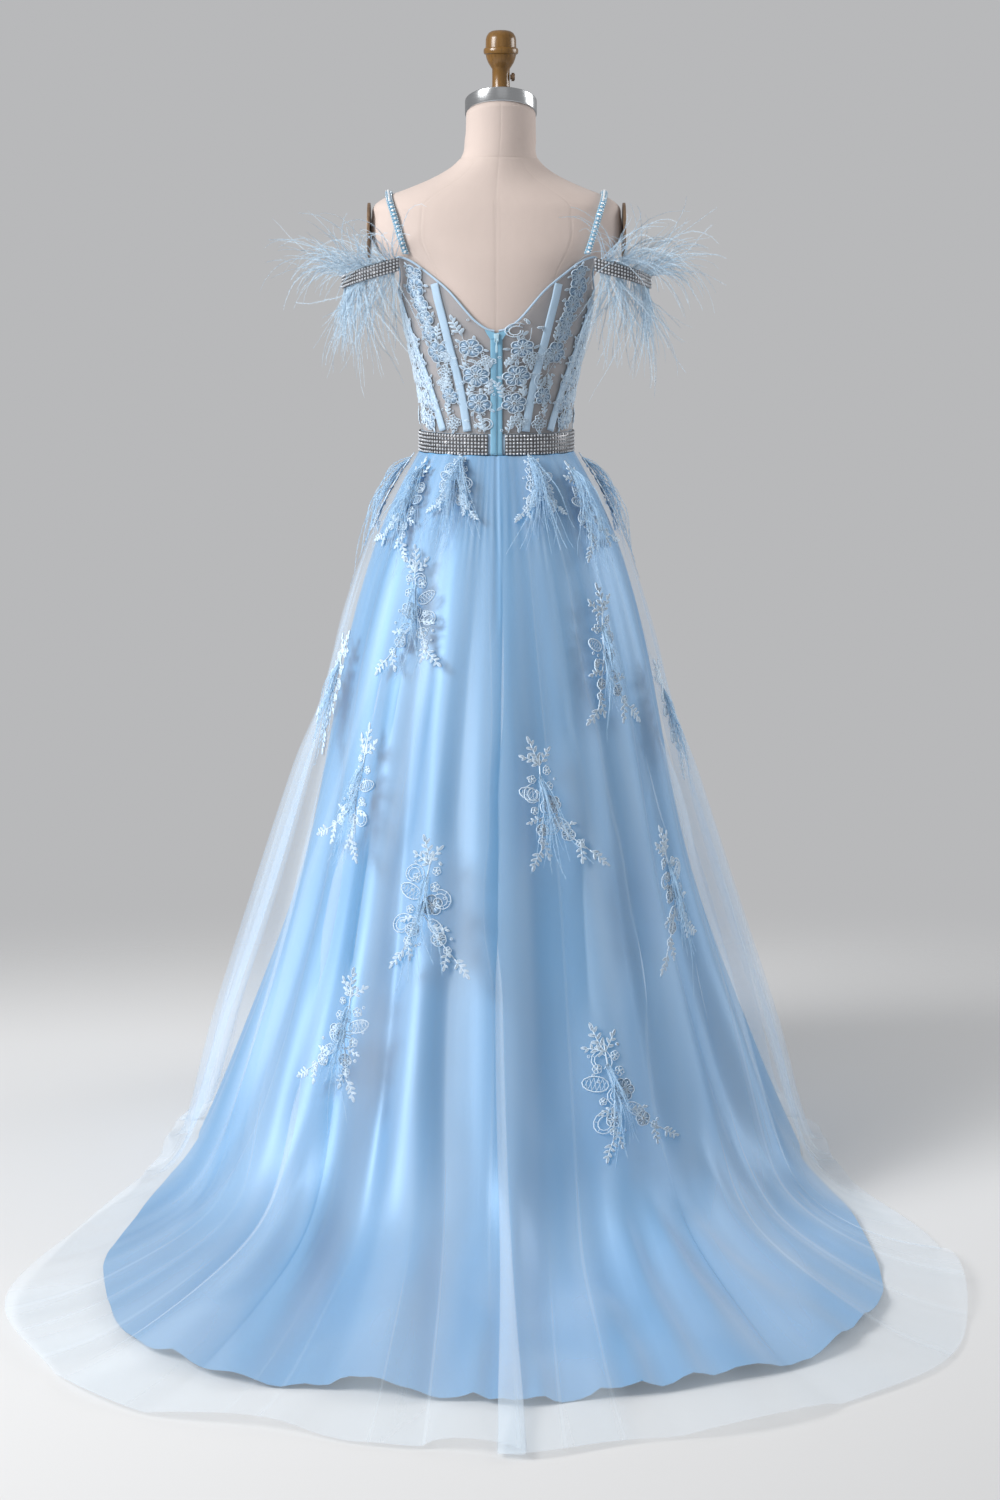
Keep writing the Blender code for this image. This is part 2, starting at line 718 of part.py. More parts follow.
def arm_loop(side, steps):
    """Evenly spaced stations round the absent arm, from the back root to the front root."""
    keys = list(range(len(ARM_LOOP)))
    fine = []
    for step in range(8 * steps + 1):
        at = step * (len(ARM_LOOP) - 1) / (8 * steps)
        row = [smooth(at, keys, [point[axis] for point in ARM_LOOP]) for axis in range(3)]
        fine.append(Vector((side * row[0], row[1], row[2])))
    places = spaced(fine, [step / steps for step in range(steps + 1)])
    stations = []
    for k, place in enumerate(places):
        ahead = places[min(k + 1, steps)] - places[max(k - 1, 0)]
        out = ahead.cross(UP).normalized()
        if out.x * side < 0 and abs(place.y) < 0.05:
            out = -out
        stations.append(Station(place, out if side > 0 else -ahead.cross(UP).normalized(), UP))
    return stations


def halved(stations):
    """The same run of stations with one more in the middle of each stretch."""
    run = [stations[0]]
    for before, after in zip(stations, stations[1:]):
        middle = [(a + b) / 2 for a, b in zip(before, after)]
        run += [Station(middle[0], middle[1].normalized(), UP), after]
    return run


def spaced(line, shares):
    """Points at shares of a line's length."""
    lengths = [0.0]
    for a, b in zip(line, line[1:]):
        lengths.append(lengths[-1] + (b - a).length)
    points = []
    for share in shares:
        at = share * lengths[-1]
        cell = min(max(int(np.searchsorted(lengths, at)) - 1, 0), len(line) - 2)
        span = lengths[cell + 1] - lengths[cell]
        points.append(line[cell].lerp(line[cell + 1], (at - lengths[cell]) / span))
    return points


def arm_bands(look):
    for side, end in ((-1, "L"), (1, "R")):
        section = ribbed_bar(BAND_HEIGHT, BAND_THICKNESS, BAND_ROWS)
        swept(f"arm_band_{end}", arm_loop(side, BAND_SEGMENTS), section, look)


def belt_stations(first, last, steps, out):
    stations = []
    height = (BELT_TOP + BELT_BOTTOM) / 2
    for step in range(steps + 1):
        angle = blend(first, last, step / steps)
        normal = body_out(height, angle)
        stations.append(Station(body_point(height, angle, out), normal, UP))
    return stations


def waistband(look):
    stations = belt_stations(0.5, 359.5, 32, 2.0 * MM)
    swept("waistband", stations, bar(BELT_TOP - BELT_BOTTOM, 1.5 * MM), look)


def belt(look):
    stations = belt_stations(BELT_OPENING, 360 - BELT_OPENING, 26, 4.6 * MM)
    swept("belt", stations, ribbed_bar(BELT_TOP - BELT_BOTTOM, BELT_THICKNESS, BELT_ROWS), look)


# ---------------------------------------------------------------- zip

def zip_back(height):
    """How far behind the middle the zip tapes' outer faces are."""
    return skin_depth(0, height)[0] + BODICE_OUT + 2 * GAP + TAPE_THICKNESS


def zip_tapes(look):
    steps = 6
    for side, end in ((-1, "L"), (1, "R")):
        middle = side * (GAP / 2 + TAPE_WIDTH / 2)
        stations = []
        for step in range(steps + 1):
            height = blend(ZIP_TOP, ZIP_BOTTOM, step / steps)
            place = Vector((middle, TAPE_THICKNESS - zip_back(height), height))
            stations.append(Station(place, Vector((0, -1, 0)), Vector((1, 0, 0))))
        swept(f"zip_tape_{end}", stations, bar(TAPE_WIDTH, TAPE_THICKNESS), look)


def box(name, low, high, look):
    corners = [(low[0], low[1]), (high[0], low[1]), (high[0], high[1]), (low[0], high[1])]
    rings = [[Vector((x, y, z)) for x, y in corners] for z in (low[2], high[2])]
    return lofted(name, rings, look)


def pull_axis():
    """Where the pull tab's pivot is: behind the middle, and its height."""
    return -(zip_back(PULL_PIVOT_HEIGHT) + 0.8 * MM + SLIDER_SIZE[1] + 1.6 * MM), PULL_PIVOT_HEIGHT


def zip_slider(look):
    """The slider's plate with two ears, which the pull tab's barrel turns between."""
    width, thickness, height = SLIDER_SIZE
    face = -(zip_back(PULL_PIVOT_HEIGHT) + 0.8 * MM)
    low = ZIP_TOP - height - 1 * MM
    plate = box("zip_slider", (-width / 2, face - thickness, low), (width / 2, face, low + height), look)
    pivot_y, pivot_z = pull_axis()
    ears = []
    for side in (-1, 1):
        inner = side * (PULL_WIDTH / 2 + GAP)
        outer = side * (PULL_WIDTH / 2 + GAP + 1.2 * MM)
        start = (min(inner, outer), pivot_y - 1.5 * MM, pivot_z - 2 * MM)
        end = (max(inner, outer), face - thickness / 2, pivot_z + 2 * MM)
        ears.append(box(f"slider_ear_{side}", start, end, look))
    unite(plate, ears)


def zip_pull(look):
    """A slim tab hanging from its barrel, which turns about X."""
    pivot_y, pivot_z = pull_axis()
    outline = [  # half width, distance below the pivot, in mm
        (1.0, 0.6), (1.0, 4.0), (1.7, 8.0), (1.7, PULL_LENGTH / MM - 1.5), (1.0, PULL_LENGTH / MM),
    ]
    points = [(half, -down) for half, down in outline] + [(-half, -down) for half, down in reversed(outline)]
    rings = []
    for y in (-0.5, 0.5):
        rings.append([Vector((x * MM, pivot_y + y * MM, pivot_z + z * MM)) for x, z in points])
    tab = lofted("zip_pull", rings, look)
    barrel = []
    for x in (-PULL_WIDTH / 2, PULL_WIDTH / 2):
        ring = []
        for k in range(10):
            angle = 2 * math.pi * k / 10
            y = pivot_y + PULL_BARREL_RADIUS * math.cos(angle)
            z = pivot_z + PULL_BARREL_RADIUS * math.sin(angle)
            ring.append(Vector((x, y, z)))
        barrel.append(ring)
    unite(tab, [lofted("pull_barrel", barrel, look)])
    put_origin(tab, Vector((0, pivot_y, pivot_z)))


# ---------------------------------------------------------------- skirt

def lying_share(direction):
    """0 where the cloth hangs and 1 where it lies on the floor, from its outward direction."""
    return ease((direction.z - 0.5) / 0.4)


def train_weight(angle):
    """1 at the back, where the skirt runs out along the floor, and 0 at the sides and front."""
    off_back = min(angle % 360, 360 - angle % 360)
    return ease((88 - off_back) / 62)


def train_flare(angle):
    """How far the train spreads sideways: -1 or 1 at its widest, and 0 at the centre back."""
    across = math.sin(math.radians(angle))
    return train_weight(angle) * across * abs(across)


def fold_wave(angle, height_share):
    """How far the folds stand out at an angle, summed with each fold's own depth."""
    wave = 0.0
    for fold in FOLDS:
        centre = fold.angle + fold.slant * height_share
        off = (angle - centre + 180) % 360 - 180
        bend = math.cos(math.pi / 2 * min(abs(off) / fold.half_width, 1.0))
        wave += fold.depth * max(0.0, bend) ** FOLD_SHARPNESS
    return wave


def meridian(angle):
    """The satin's middle line from the waist to its hem, without folds."""
    across = math.sin(math.radians(angle))
    along = -math.cos(math.radians(angle))
    start = body_point(SKIRT_TOP, angle, EASE + SATIN_WALL)
    floor = Vector((FLOOR_HALF_WIDTH * across, FLOOR_CENTRE + FLOOR_HALF_DEPTH * along, 0))
    line = []
    heights = list(np.linspace(SKIRT_TOP, 0, 28))
    for height in heights:
        side_share = smooth_column(tuple(reversed(SKIRT_FALL)), "side", height)
        centre_share = smooth_column(tuple(reversed(SKIRT_FALL)), "centre", height)
        share = blend(centre_share, side_share, across * across)
        line.append(Vector((*start.lerp(floor, share).xy, height)))
    spread = (TRAIN_SPREAD_RIGHT if across > 0 else TRAIN_SPREAD_LEFT) * train_flare(angle)
    length = TRAIN_LENGTH * train_weight(angle)
    for step in range(1, 9):
        reach = step / 8
        x = floor.x + spread * reach
        y = floor.y - length * reach
        line.append(Vector((x, y, 0)))
    return line


def normals(rows):
    """The outward direction at each point of a grid that closes on itself along its rows."""
    found = []
    columns = len(rows[0])
    for r in range(len(rows)):
        above, below = rows[max(r - 1, 0)], rows[min(r + 1, len(rows) - 1)]
        line = []
        for c in range(columns):
            beside = rows[r][(c + 1) % columns] - rows[r][c - 1]
            down = below[c] - above[c]
            line.append(down.cross(beside).normalized())
        found.append(line)
    return found


def satin_grid():
    """The satin's outer points, row by row from the waist, with its folds."""
    angles = [360 * c / SKIRT_COLUMNS for c in range(SKIRT_COLUMNS)]
    shares = [row / SATIN_ROWS for row in range(SATIN_ROWS + 1)]
    lines = [spaced(meridian(angle), shares) for angle in angles]
    base = [[line[row] for line in lines] for row in range(SATIN_ROWS + 1)]
    out = normals(base)
    rows = []
    for r, row in enumerate(base):
        moved = []
        for c, point in enumerate(row):
            growth = smooth(point.z, FOLD_HEIGHTS, FOLD_GROWTH)
            wave = fold_wave(angles[c], 1 - point.z / SKIRT_TOP)
            lying = lying_share(out[r][c])
            hem_fade = 1 - 0.75 * lying * r / SATIN_ROWS
            growth *= blend(1.0, FLOOR_RIDGE * hem_fade, lying)
            moved.append(point + out[r][c] * wave * growth)
        rows.append(moved)
    return grounded(rows, SATIN_WALL)


def grounded(rows, thickness):
    """Keeps a wall of this thickness on the floor: its hem rests there and nothing is lower."""
    out = normals(rows)
    for r, row in enumerate(rows):
        for c, point in enumerate(row):
            lowest = max(out[r][c].z, 0.0) * thickness
            if r == len(rows) - 1:
                point.z = lowest
            point.z = max(point.z, lowest)
    return rows


def tulle_grid(satin):
    """The tulle's outer points: the satin's, moved out, and more rows beyond the satin's hem."""
    out = normals(satin)
    flat = [[lying_share(direction) for direction in line] for line in out]
    fall = tuple(reversed(SKIRT_FALL))
    rows = []
    for r, row in enumerate(satin):
        line = []
        for c, point in enumerate(row):
            direction = out[r][c]
            after = (c + 1) % SKIRT_COLUMNS
            lying = min(flat[r][c], flat[r][c - 1], flat[r][after], flat[max(r - 1, 0)][c])
            falling_gap = smooth_column(fall, "tulle_gap", point.z)
            wave = TULLE_WAVE_SHARE * falling_gap * math.sin(2 * math.pi * TULLE_WAVES * c / SKIRT_COLUMNS)
            gap = blend(falling_gap + wave, TULLE_LYING_GAP, lying)
            place = point + direction * (gap + TULLE_WALL)
            if r == 0:
                place.z = SKIRT_TOP
            if r == len(satin) - 1:
                outwards = UP.cross(row[c - 1] - row[after]).normalized()
                place = point + outwards * TULLE_SIDE_HEM * (1 - lying)
                place.z = blend(TULLE_WALL, point.z + TULLE_WALL + 3 * GAP, ease(3 * lying))
            line.append(place)
        rows.append(line)
    hem = rows[-1]
    for extra in range(1, TULLE_EXTRA_ROWS + 1):
        line = []
        for c, point in enumerate(hem):
            angle = 360 * c / SKIRT_COLUMNS
            share = extra / TULLE_EXTRA_ROWS
            across = math.sin(math.radians(angle))
            reach = blend(TULLE_SHORT_HEM, TULLE_TRAIN, train_weight(angle)) * share
            place = point.copy()
            place.x += TULLE_TRAIN_FLARE * across * abs(across) * reach
            place.y -= math.cos(math.radians(angle)) * reach
            place.z = TULLE_WALL
            line.append(place)
        rows.append(line)
    return rows


def inner_rows(rows, thickness):
    """The inner points of a wall, never under the floor."""
    out = normals(rows)
    inside = []
    for r, row in enumerate(rows):
        line = []
        for c, point in enumerate(row):
            place = point - out[r][c] * thickness
            place.z = max(place.z, 0.0)
            if r == 0:
                place.z = point.z
            line.append(place)
        inside.append(line)
    return inside


def left_half(column):
    return column % SKIRT_COLUMNS >= SKIRT_COLUMNS // 2


PANELS = (("back_R", 0, 17), ("front", 17, 43), ("back_L", 43, 60))  # first and last column


def skirt_panels(layer, rows, thickness, look):
    inside = inner_rows(rows, thickness)
    for name, first, last in PANELS:
        columns = [c % SKIRT_COLUMNS for c in range(first, last + 1)]
        outer = parted([[row[c].copy() for c in columns] for row in rows])
        inner = parted([[row[c].copy() for c in columns] for row in inside])
        wall(f"{layer}_{name}", outer, inner, look, [left_half(c) for c in columns])


# ---------------------------------------------------------------- lace and feathers

class Facets:
    """The outer points of the tulle, read between them as its flat facets run."""

    def __init__(self, rows):
        self.rows = rows
        self.out = normals(rows)

    def at(self, column, row, height):
        row = min(max(row, 0.0), len(self.rows) - 1.001)
        c, r = math.floor(column), math.floor(row)
        right, down = column - c, row - r
        place = self.mixed(self.rows, c, r, right, down)
        return place + self.mixed(self.out, c, r, right, down).normalized() * height

    def mixed(self, grid, c, r, right, down):
        left, beside = c % SKIRT_COLUMNS, (c + 1) % SKIRT_COLUMNS
        a, b = grid[r][left], grid[r][beside]
        d, corner = grid[r + 1][left], grid[r + 1][beside]
        if left_half(left):
            if right + down <= 1:
                return a + (b - a) * right + (d - a) * down
            return corner + (d - corner) * (1 - right) + (b - corner) * (1 - down)
        if right >= down:
            return a + (b - a) * right + (corner - b) * down
        return a + (d - a) * down + (corner - d) * right

    def row_at(self, column, height):
        """The row, with its fraction, at which a column reaches a height."""
        c = math.floor(column) % SKIRT_COLUMNS
        for r in range(len(self.rows) - 1):
            top, bottom = self.rows[r][c].z, self.rows[r + 1][c].z
            if top >= height >= bottom:
                return r + (top - height) / (top - bottom)
        return len(self.rows) - 2.0


def turned_by(point, angle):
    c, s = math.cos(angle), math.sin(angle)
    return Vector((point.x * c - point.y * s, point.x * s + point.y * c))


def leaf(base, heading, length, width):
    """A pointed leaf, widest near its base."""
    across = Vector((-heading.y, heading.x)) * width / 2
    belly = base + heading * length * 0.42
    return [base - heading * 2 * MM, belly - across, base + heading * length, belly + across]


def blossom(centre, radius):
    """A four-petalled flower as a blunt star."""
    points = []
    for k in range(8):
        reach = radius * (1.0 if k % 2 == 0 else 0.66)
        angle = math.pi * k / 4 + math.pi / 2
        points.append(centre + Vector((math.cos(angle), math.sin(angle))) * reach)
    return points


def sprig_shapes(sprig):
    """Stem, leaves and blossoms in flat cloth sizes: x across, y down, from the sprig's middle."""
    stem = []
    for k in range(3):
        s = k / 2
        stem.append(Vector((sprig.lean * math.sin(math.pi * s), (s - 0.5) * sprig.length)))
    half = 1.8 * MM
    sides = [point + Vector((half, 0)) for point in stem]
    sides += [point - Vector((half, 0)) for point in reversed(stem)]
    shapes = [sides]
    for k in range(5):
        s = 0.06 + 0.18 * k
        base = Vector((sprig.lean * math.sin(math.pi * s), (s - 0.5) * sprig.length))
        turn = math.radians((-1) ** k * (38 + 7 * k) - 90)
        reach = sprig.spread * (0.36 + 0.16 * math.sin(math.pi * s))
        heading = Vector((math.cos(turn), math.sin(turn)))
        shapes.append(leaf(base, heading, reach, 0.42 * reach))
    foot = Vector((0, 0.5 * sprig.length))
    shapes.append(blossom(foot, 0.27 * sprig.spread))
    angle = math.radians(sprig.turn)
    return [[turned_by(point, angle) for point in shape] for shape in shapes], turned_by(foot, angle)


def joined_outline(shapes, lines):
    """Triangles of all shapes together, cut where the lines cross them, in flat sizes."""
    points = []
    faces = []
    for shape in shapes:
        faces.append(list(range(len(points), len(points) + len(shape))))
        points += [point / MM for point in shape]
    edges = []
    for a, b in lines:
        edges.append((len(points), len(points) + 1))
        points += [a / MM, b / MM]
    found = delaunay_2d_cdt(points, edges, faces, 0, 1e-4)
    triangles = [tuple(face) for face, made_from in zip(found[2], found[5]) if made_from]
    flat = [Vector(point) * MM for point in found[0]]
    return flat, biggest_patch(triangles)


def biggest_patch(triangles):
    """The largest set of triangles that are joined by their edges."""
    owners = {}
    for index, triangle in enumerate(triangles):
        for k in range(3):
            owners.setdefault(frozenset((triangle[k], triangle[k - 1])), []).append(index)
    patches = []
    left = set(range(len(triangles)))
    while left:
        patch = set()
        reached = {min(left)}
        while reached:
            index = reached.pop()
            patch.add(index)
            triangle = triangles[index]
            for k in range(3):
                for other in owners[frozenset((triangle[k], triangle[k - 1]))]:
                    if other not in patch:
                        reached.add(other)
        left -= patch
        patches.append(patch)
    return [triangles[index] for index in sorted(max(patches, key=len))]


def boundary(triangles):
    """The directed edges that only one triangle has."""
    directed = [(t[k], t[(k + 1) % 3]) for t in triangles for k in range(3)]
    known = set(directed)
    return [edge for edge in directed if (edge[1], edge[0]) not in known]


def lay(name, flat, triangles, place, heights, look, tuft=None):
    """Gives a flat outline its thickness over a cloth, and grows feathers from its lower edge."""
    used = sorted({index for triangle in triangles for index in triangle})
    order = {index: k for k, index in enumerate(used)}
    low, high = heights
    count = len(used)
    points = [place(flat[index], low) for index in used]
    points += [place(flat[index], high) for index in used]
    faces = []
    for a, b, c in triangles:
        faces.append((order[a] + count, order[b] + count, order[c] + count))
        faces.append((order[c], order[b], order[a]))
    edges = boundary(triangles)
    rooted = tuft_edges(flat, edges, tuft) if tuft else []
    for a, b in edges:
        root = (order[a], order[b], order[b] + count, order[a] + count)
        if (a, b) in rooted:
            grow_feather(points, faces, root, flat[a], flat[b], tuft, place, high)
        else:
            faces.append(root)
    solid(name, points, faces, look)


Tuft = namedtuple("Tuft", "foot radius length spread stand")


def tuft_edges(flat, edges, tuft):
    """The edges of the end blossom that look downwards, apart from short ones."""
    rooted = []
    for a, b in edges:
        middle = (flat[a] + flat[b]) / 2 - tuft.foot
        long_enough = (flat[b] - flat[a]).length > 2.5 * MM
        if long_enough and middle.length < 1.15 * tuft.radius and middle.y > 0.1 * tuft.radius:
            rooted.append((a, b))
    return rooted[:4]


def grow_feather(points, faces, root, start, end, tuft, place, high):
    """A four-sided feather from a root quad: out over the cloth, then down to a point."""
    middle = (start + end) / 2
    side = (middle.x - tuft.foot.x) / tuft.radius
    heading = Vector((tuft.spread * side, 1)).normalized()
    across = Vector((heading.y, -heading.x)) * 1.3 * MM
    if (end - start).dot(across) < 0:
        across = -across
    belly = middle + heading * tuft.length * 0.45
    first = len(points)
    stand = high + tuft.stand
    points.append(place(belly - across, stand))
    points.append(place(belly + across, stand))
    points.append(place(belly + across, stand + 1.4 * MM))
    points.append(place(belly - across, stand + 1.4 * MM))
    points.append(place(middle + heading * tuft.length * (1 - 0.15 * side * side), stand))
    tip = first + 4
    for k in range(4):
        after = (k + 1) % 4
        faces.append((root[k], root[after], first + after))
        faces.append((root[k], first + after, first + k))
        faces.append((first + k, first + after, tip))


def skirt_sprig(sprig, tulle, look, feather_length, clear, follow=True):
    """A sprig on the tulle; to follow it closely it is cut along the tulle's own facets."""
    column = sprig.angle * SKIRT_COLUMNS / 360
    row = tulle.row_at(column, sprig.height)
    middle = tulle.at(column, row, 0)
    cell_width = (tulle.at(column + 0.5, row, 0) - tulle.at(column - 0.5, row, 0)).length
    cell_height = (tulle.at(column, row + 0.4, 0) - middle).length / 0.4

    def place(point, height):
        return tulle.at(column + point.x / cell_width, row + point.y / cell_height, height)

    shapes, foot = sprig_shapes(sprig)
    lines = facet_lines(column, row, cell_width, cell_height, sprig.length) if follow else []
    flat, triangles = joined_outline(shapes, lines)
    tuft = Tuft(foot, 0.27 * sprig.spread, feather_length, 0.45, FEATHER_STAND)
    heights = (clear, clear + LACE_THICKNESS)
    lay(f"lace_{sprig.name}", flat, triangles, place, heights, look, tuft)


def facet_lines(column, row, cell_width, cell_height, reach):
    """The edges of the tulle's facets near a place, in the flat sizes round that place."""
    lines = []
    span = 0.75 * reach
    for k in range(math.ceil(column - span / cell_width), math.floor(column + span / cell_width) + 1):
        x = (k - column) * cell_width
        lines.append((Vector((x, -span)), Vector((x, span))))
    for k in range(math.ceil(row - span / cell_height), math.floor(row + span / cell_height) + 1):
        y = (k - row) * cell_height
        lines.append((Vector((-span, y)), Vector((span, y))))
    spread = span / cell_width + span / cell_height
    slope = -1 if left_half(math.floor(column)) else 1
    start = row - slope * column
    for k in range(math.ceil(start - spread), math.floor(start + spread) + 1):
        # along a diagonal, the row less the column, or plus it on the left, is k
        ends = []
        for x in (-span, span):
            y = (k + slope * (column + x / cell_width) - row) * cell_height
            ends.append(Vector((x, y)))
        lines.append((ends[0], ends[1]))
    return lines


def bodice_sprig(sprig, side, end, look):
    """A sprig on the bodice, whose flat sizes run round the body and up it."""
    radius = body_point(sprig.height, sprig.angle).xy.length

    def place(point, height):
        angle = sprig.angle + math.degrees(point.x / radius)
        return body_point(sprig.height - point.y, side * angle, BODICE_OUT + height)

    shapes, _ = sprig_shapes(sprig)
    step = 20 * MM
    reach = 0.6 * sprig.length
    lines = []
    for k in range(-3, 4):
        lines.append((Vector((k * step, -reach)), Vector((k * step, reach))))
    flat, triangles = joined_outline(shapes, lines)
    heights = (BODICE_LACE_CLEAR, BODICE_LACE_CLEAR + LACE_THICKNESS)
    lay(f"lace_{sprig.name}_{end}", flat, triangles, place, heights, look)


def feather_trims(look):
    """Ostrich trim: a tape inside each arm band, with feathers from its upper and lower edge."""
    draw = random.Random(FEATHER_SEED)
    steps = 2 * BAND_SEGMENTS
    tape = 1.4 * MM
    behind = -(tape + 2 * GAP)
    half = BAND_HEIGHT / 2 + MM
    section = ((behind, -half), (behind + tape, -half), (behind + tape, half), (behind, half))
    for side, end in ((-1, "L"), (1, "R")):
        stations = halved(arm_loop(side, BAND_SEGMENTS))
        points = []
        for s in stations:
            for out, along in section:
                points.append(s.place + s.out * out + s.along * along)
        faces = [(0, 1, 2, 3), tuple(4 * steps + k for k in (3, 2, 1, 0))]
        for k in range(steps):
            here, after = 4 * k, 4 * k + 4
            faces.append((here + 1, after + 1, after + 2, here + 2))
            faces.append((here + 3, after + 3, after, here))
            lower = (here, after, after + 1, here + 1)
            upper = (here + 2, after + 2, after + 3, here + 3)
            out = (stations[k].out + stations[k + 1].out).normalized()
            sway = (stations[k + 1].place - stations[k].place).normalized()
            reach = math.sin(math.pi * (k + 0.5) / steps)
            if ROOT_SEGMENTS <= k < steps - ROOT_SEGMENTS:
                band_feather(points, faces, upper, out, sway, 0.12 - 0.055 * reach, 0.45 + 0.75 * reach, draw)
                band_feather(points, faces, lower, out, sway, 0.07 * reach - 0.13, 0.25 + 0.90 * reach, draw)
            else:
                faces += [upper, lower]
        solid(f"feather_trim_{end}", points, faces, look)


def band_feather(points, faces, root, out, sway, rise, lean, draw):
    """One feather: up or down by rise, outwards by a share of that, with a drooping tip."""
    rise *= draw.uniform(0.75, 1.1)
    lean *= draw.uniform(0.8, 1.2)
    sideways = sway * abs(rise) * draw.uniform(-0.12, 0.12)
    centre = sum((points[k] for k in root), Vector()) / 4
    belly = centre + UP * rise * 0.55 + out * abs(rise) * lean * 0.55 + sideways * 0.5
    droop = -0.10 * abs(rise) if rise > 0 else 0.0
    tip = centre + UP * (rise + droop) + out * abs(rise) * lean * 1.15 + sideways
    first = len(points)
    for k in root:
        offset = points[k] - centre
        points.append(belly + sway * offset.dot(sway) * 0.42 + out * offset.dot(out) * 0.8)
    points.append(tip)
    for k in range(4):
        after = (k + 1) % 4
        faces.append((root[k], root[after], first + after, first + k))
        faces.append((first + k, first + after, first + 4))


# ---------------------------------------------------------------- the whole part

def clear_scene():
    for old in list(bpy.data.objects):
        bpy.data.objects.remove(old, do_unlink=True)


def main():
    clear_scene()
    linen = material("form linen", (0.68, 0.57, 0.51), 0.9)
    steel = material("polished steel", (0.62, 0.63, 0.65), 0.18, 1.0)
    varnish = material("brown varnish", (0.26, 0.14, 0.05), 0.25)
    dark_metal = material("dark metal", (0.10, 0.08, 0.06), 0.4, 0.8)
    iron = material("painted iron", (0.12, 0.12, 0.13), 0.5, 0.4)
    mesh = material("sheer mesh", (0.40, 0.42, 0.45), 0.8)
    channel = material("channel satin", (0.62, 0.72, 0.80), 0.45)
    stones = material("rhinestone", (0.55, 0.57, 0.60), 0.15, 0.6)
    feather = material("feather", (0.62, 0.78, 0.90), 0.8)
    lace = material("corded lace", (0.66, 0.79, 0.90), 0.7)
    satin = material("blue satin", (0.30, 0.53, 0.76), 0.35)
    tulle = material("blue tulle", (0.50, 0.66, 0.80), 0.8)
    tape = material("zip tape", (0.25, 0.45, 0.60), 0.7)

    form_torso(linen)
    form_neck_cap(steel)
    form_finial(varnish)
    form_finial_screw(dark_metal)
    form_arm_plates(dark_metal)
    form_stand(iron)

    bodice(mesh)
    boning_channels(channel)
    neckline_binding(channel)
    straps(stones)
    arm_bands(stones)
    feather_trims(feather)
    waistband(channel)
    belt(stones)
    zip_tapes(tape)
    zip_slider(tape)
    zip_pull(tape)

    satin_rows = satin_grid()
    tulle_rows = tulle_grid(satin_rows)
    skirt_panels("satin", satin_rows, SATIN_WALL, satin)
    skirt_panels("tulle", tulle_rows, TULLE_WALL, tulle)

    facets = Facets(tulle_rows)
    for sprig in SKIRT_SPRIGS:
        skirt_sprig(sprig, facets, lace, 75 * MM, LACE_CLEAR)
    for sprig in WAIST_SPRIGS:
        skirt_sprig(sprig, facets, lace, 60 * MM, WAIST_LACE_CLEAR, follow=False)
    for side, end in ((-1, "L"), (1, "R")):
        for sprig in BODICE_SPRIGS:
            bodice_sprig(sprig, side, end, lace)


main()
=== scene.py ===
"""The looks of a ball gown with a train on a limbless dress form, in metres with +Z up.

Directions round the body are angles in degrees from the centre back: 90 is the wearer's right
side and 180 the centre front. Flat cloth sizes run x round the body and y down it.
"""

import math
import random

import bmesh
import bpy
import numpy as np
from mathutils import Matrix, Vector


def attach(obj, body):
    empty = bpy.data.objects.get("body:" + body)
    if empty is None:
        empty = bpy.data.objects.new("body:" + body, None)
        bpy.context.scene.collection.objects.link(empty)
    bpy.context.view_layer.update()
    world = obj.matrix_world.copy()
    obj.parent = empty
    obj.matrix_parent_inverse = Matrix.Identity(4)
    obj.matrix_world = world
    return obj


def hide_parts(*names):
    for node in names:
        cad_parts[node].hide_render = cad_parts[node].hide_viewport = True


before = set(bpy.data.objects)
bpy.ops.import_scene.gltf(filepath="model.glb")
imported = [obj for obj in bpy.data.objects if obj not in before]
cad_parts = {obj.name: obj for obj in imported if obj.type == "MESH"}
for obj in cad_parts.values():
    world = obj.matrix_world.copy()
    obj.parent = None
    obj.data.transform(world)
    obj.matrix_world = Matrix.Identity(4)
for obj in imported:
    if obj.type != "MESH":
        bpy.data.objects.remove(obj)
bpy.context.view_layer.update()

bl_info = {
    "name": "Ball Gown on Dress Form",
    "version": (1, 0, 0),
    "blender": (4, 5, 0),
    "location": "View3D > Sidebar > Gown",
    "description": "Makes a satin and tulle gown with corded lace, stones and feathers on its form",
    "category": "Object",
}

MM = 0.001
ACROSS, UP = np.array((1.0, 0.0, 0.0)), np.array((0.0, 0.0, 1.0))
GOWN = "gown_on_form"

# ---------------------------------------------------------------- sizes shared with the solids

EASE = 2.2 * MM
BODICE_OUT = EASE + 1.5 * MM
BELT_TOP = 1.0925
BELT_BOTTOM = 1.0605
BELT_MIDDLE = (BELT_TOP + BELT_BOTTOM) / 2
BELT_OPENING = 5.6
ZIP_TOP = 1.2405
ZIP_BOTTOM = 1.0612
TAPE_WIDTH = 8.6 * MM
PULL_PIVOT_HEIGHT = 1.2300
NECK_TILT = math.radians(19)
NECK_TOP = 1.554
NECK_LEAN = 6.5 * MM
CAP_RADIUS = 53 * MM
CAP_HEIGHT = 20 * MM
BOSS_TOP = 1.5830
SKIRT_TOP = BELT_BOTTOM - 0.3 * MM
FLOOR_CENTRE = -0.130
FLOOR_HALF_WIDTH = 0.455
FLOOR_HALF_DEPTH = 0.490
TRAIN_LENGTH = 0.410
TRAIN_SPREAD_LEFT = 0.440
TRAIN_SPREAD_RIGHT = 0.400
TULLE_TRAIN = 0.130
TULLE_TRAIN_FLARE = 2.0
TULLE_SHORT_HEM = 0.010
TULLE_LYING_GAP = 3.5 * MM

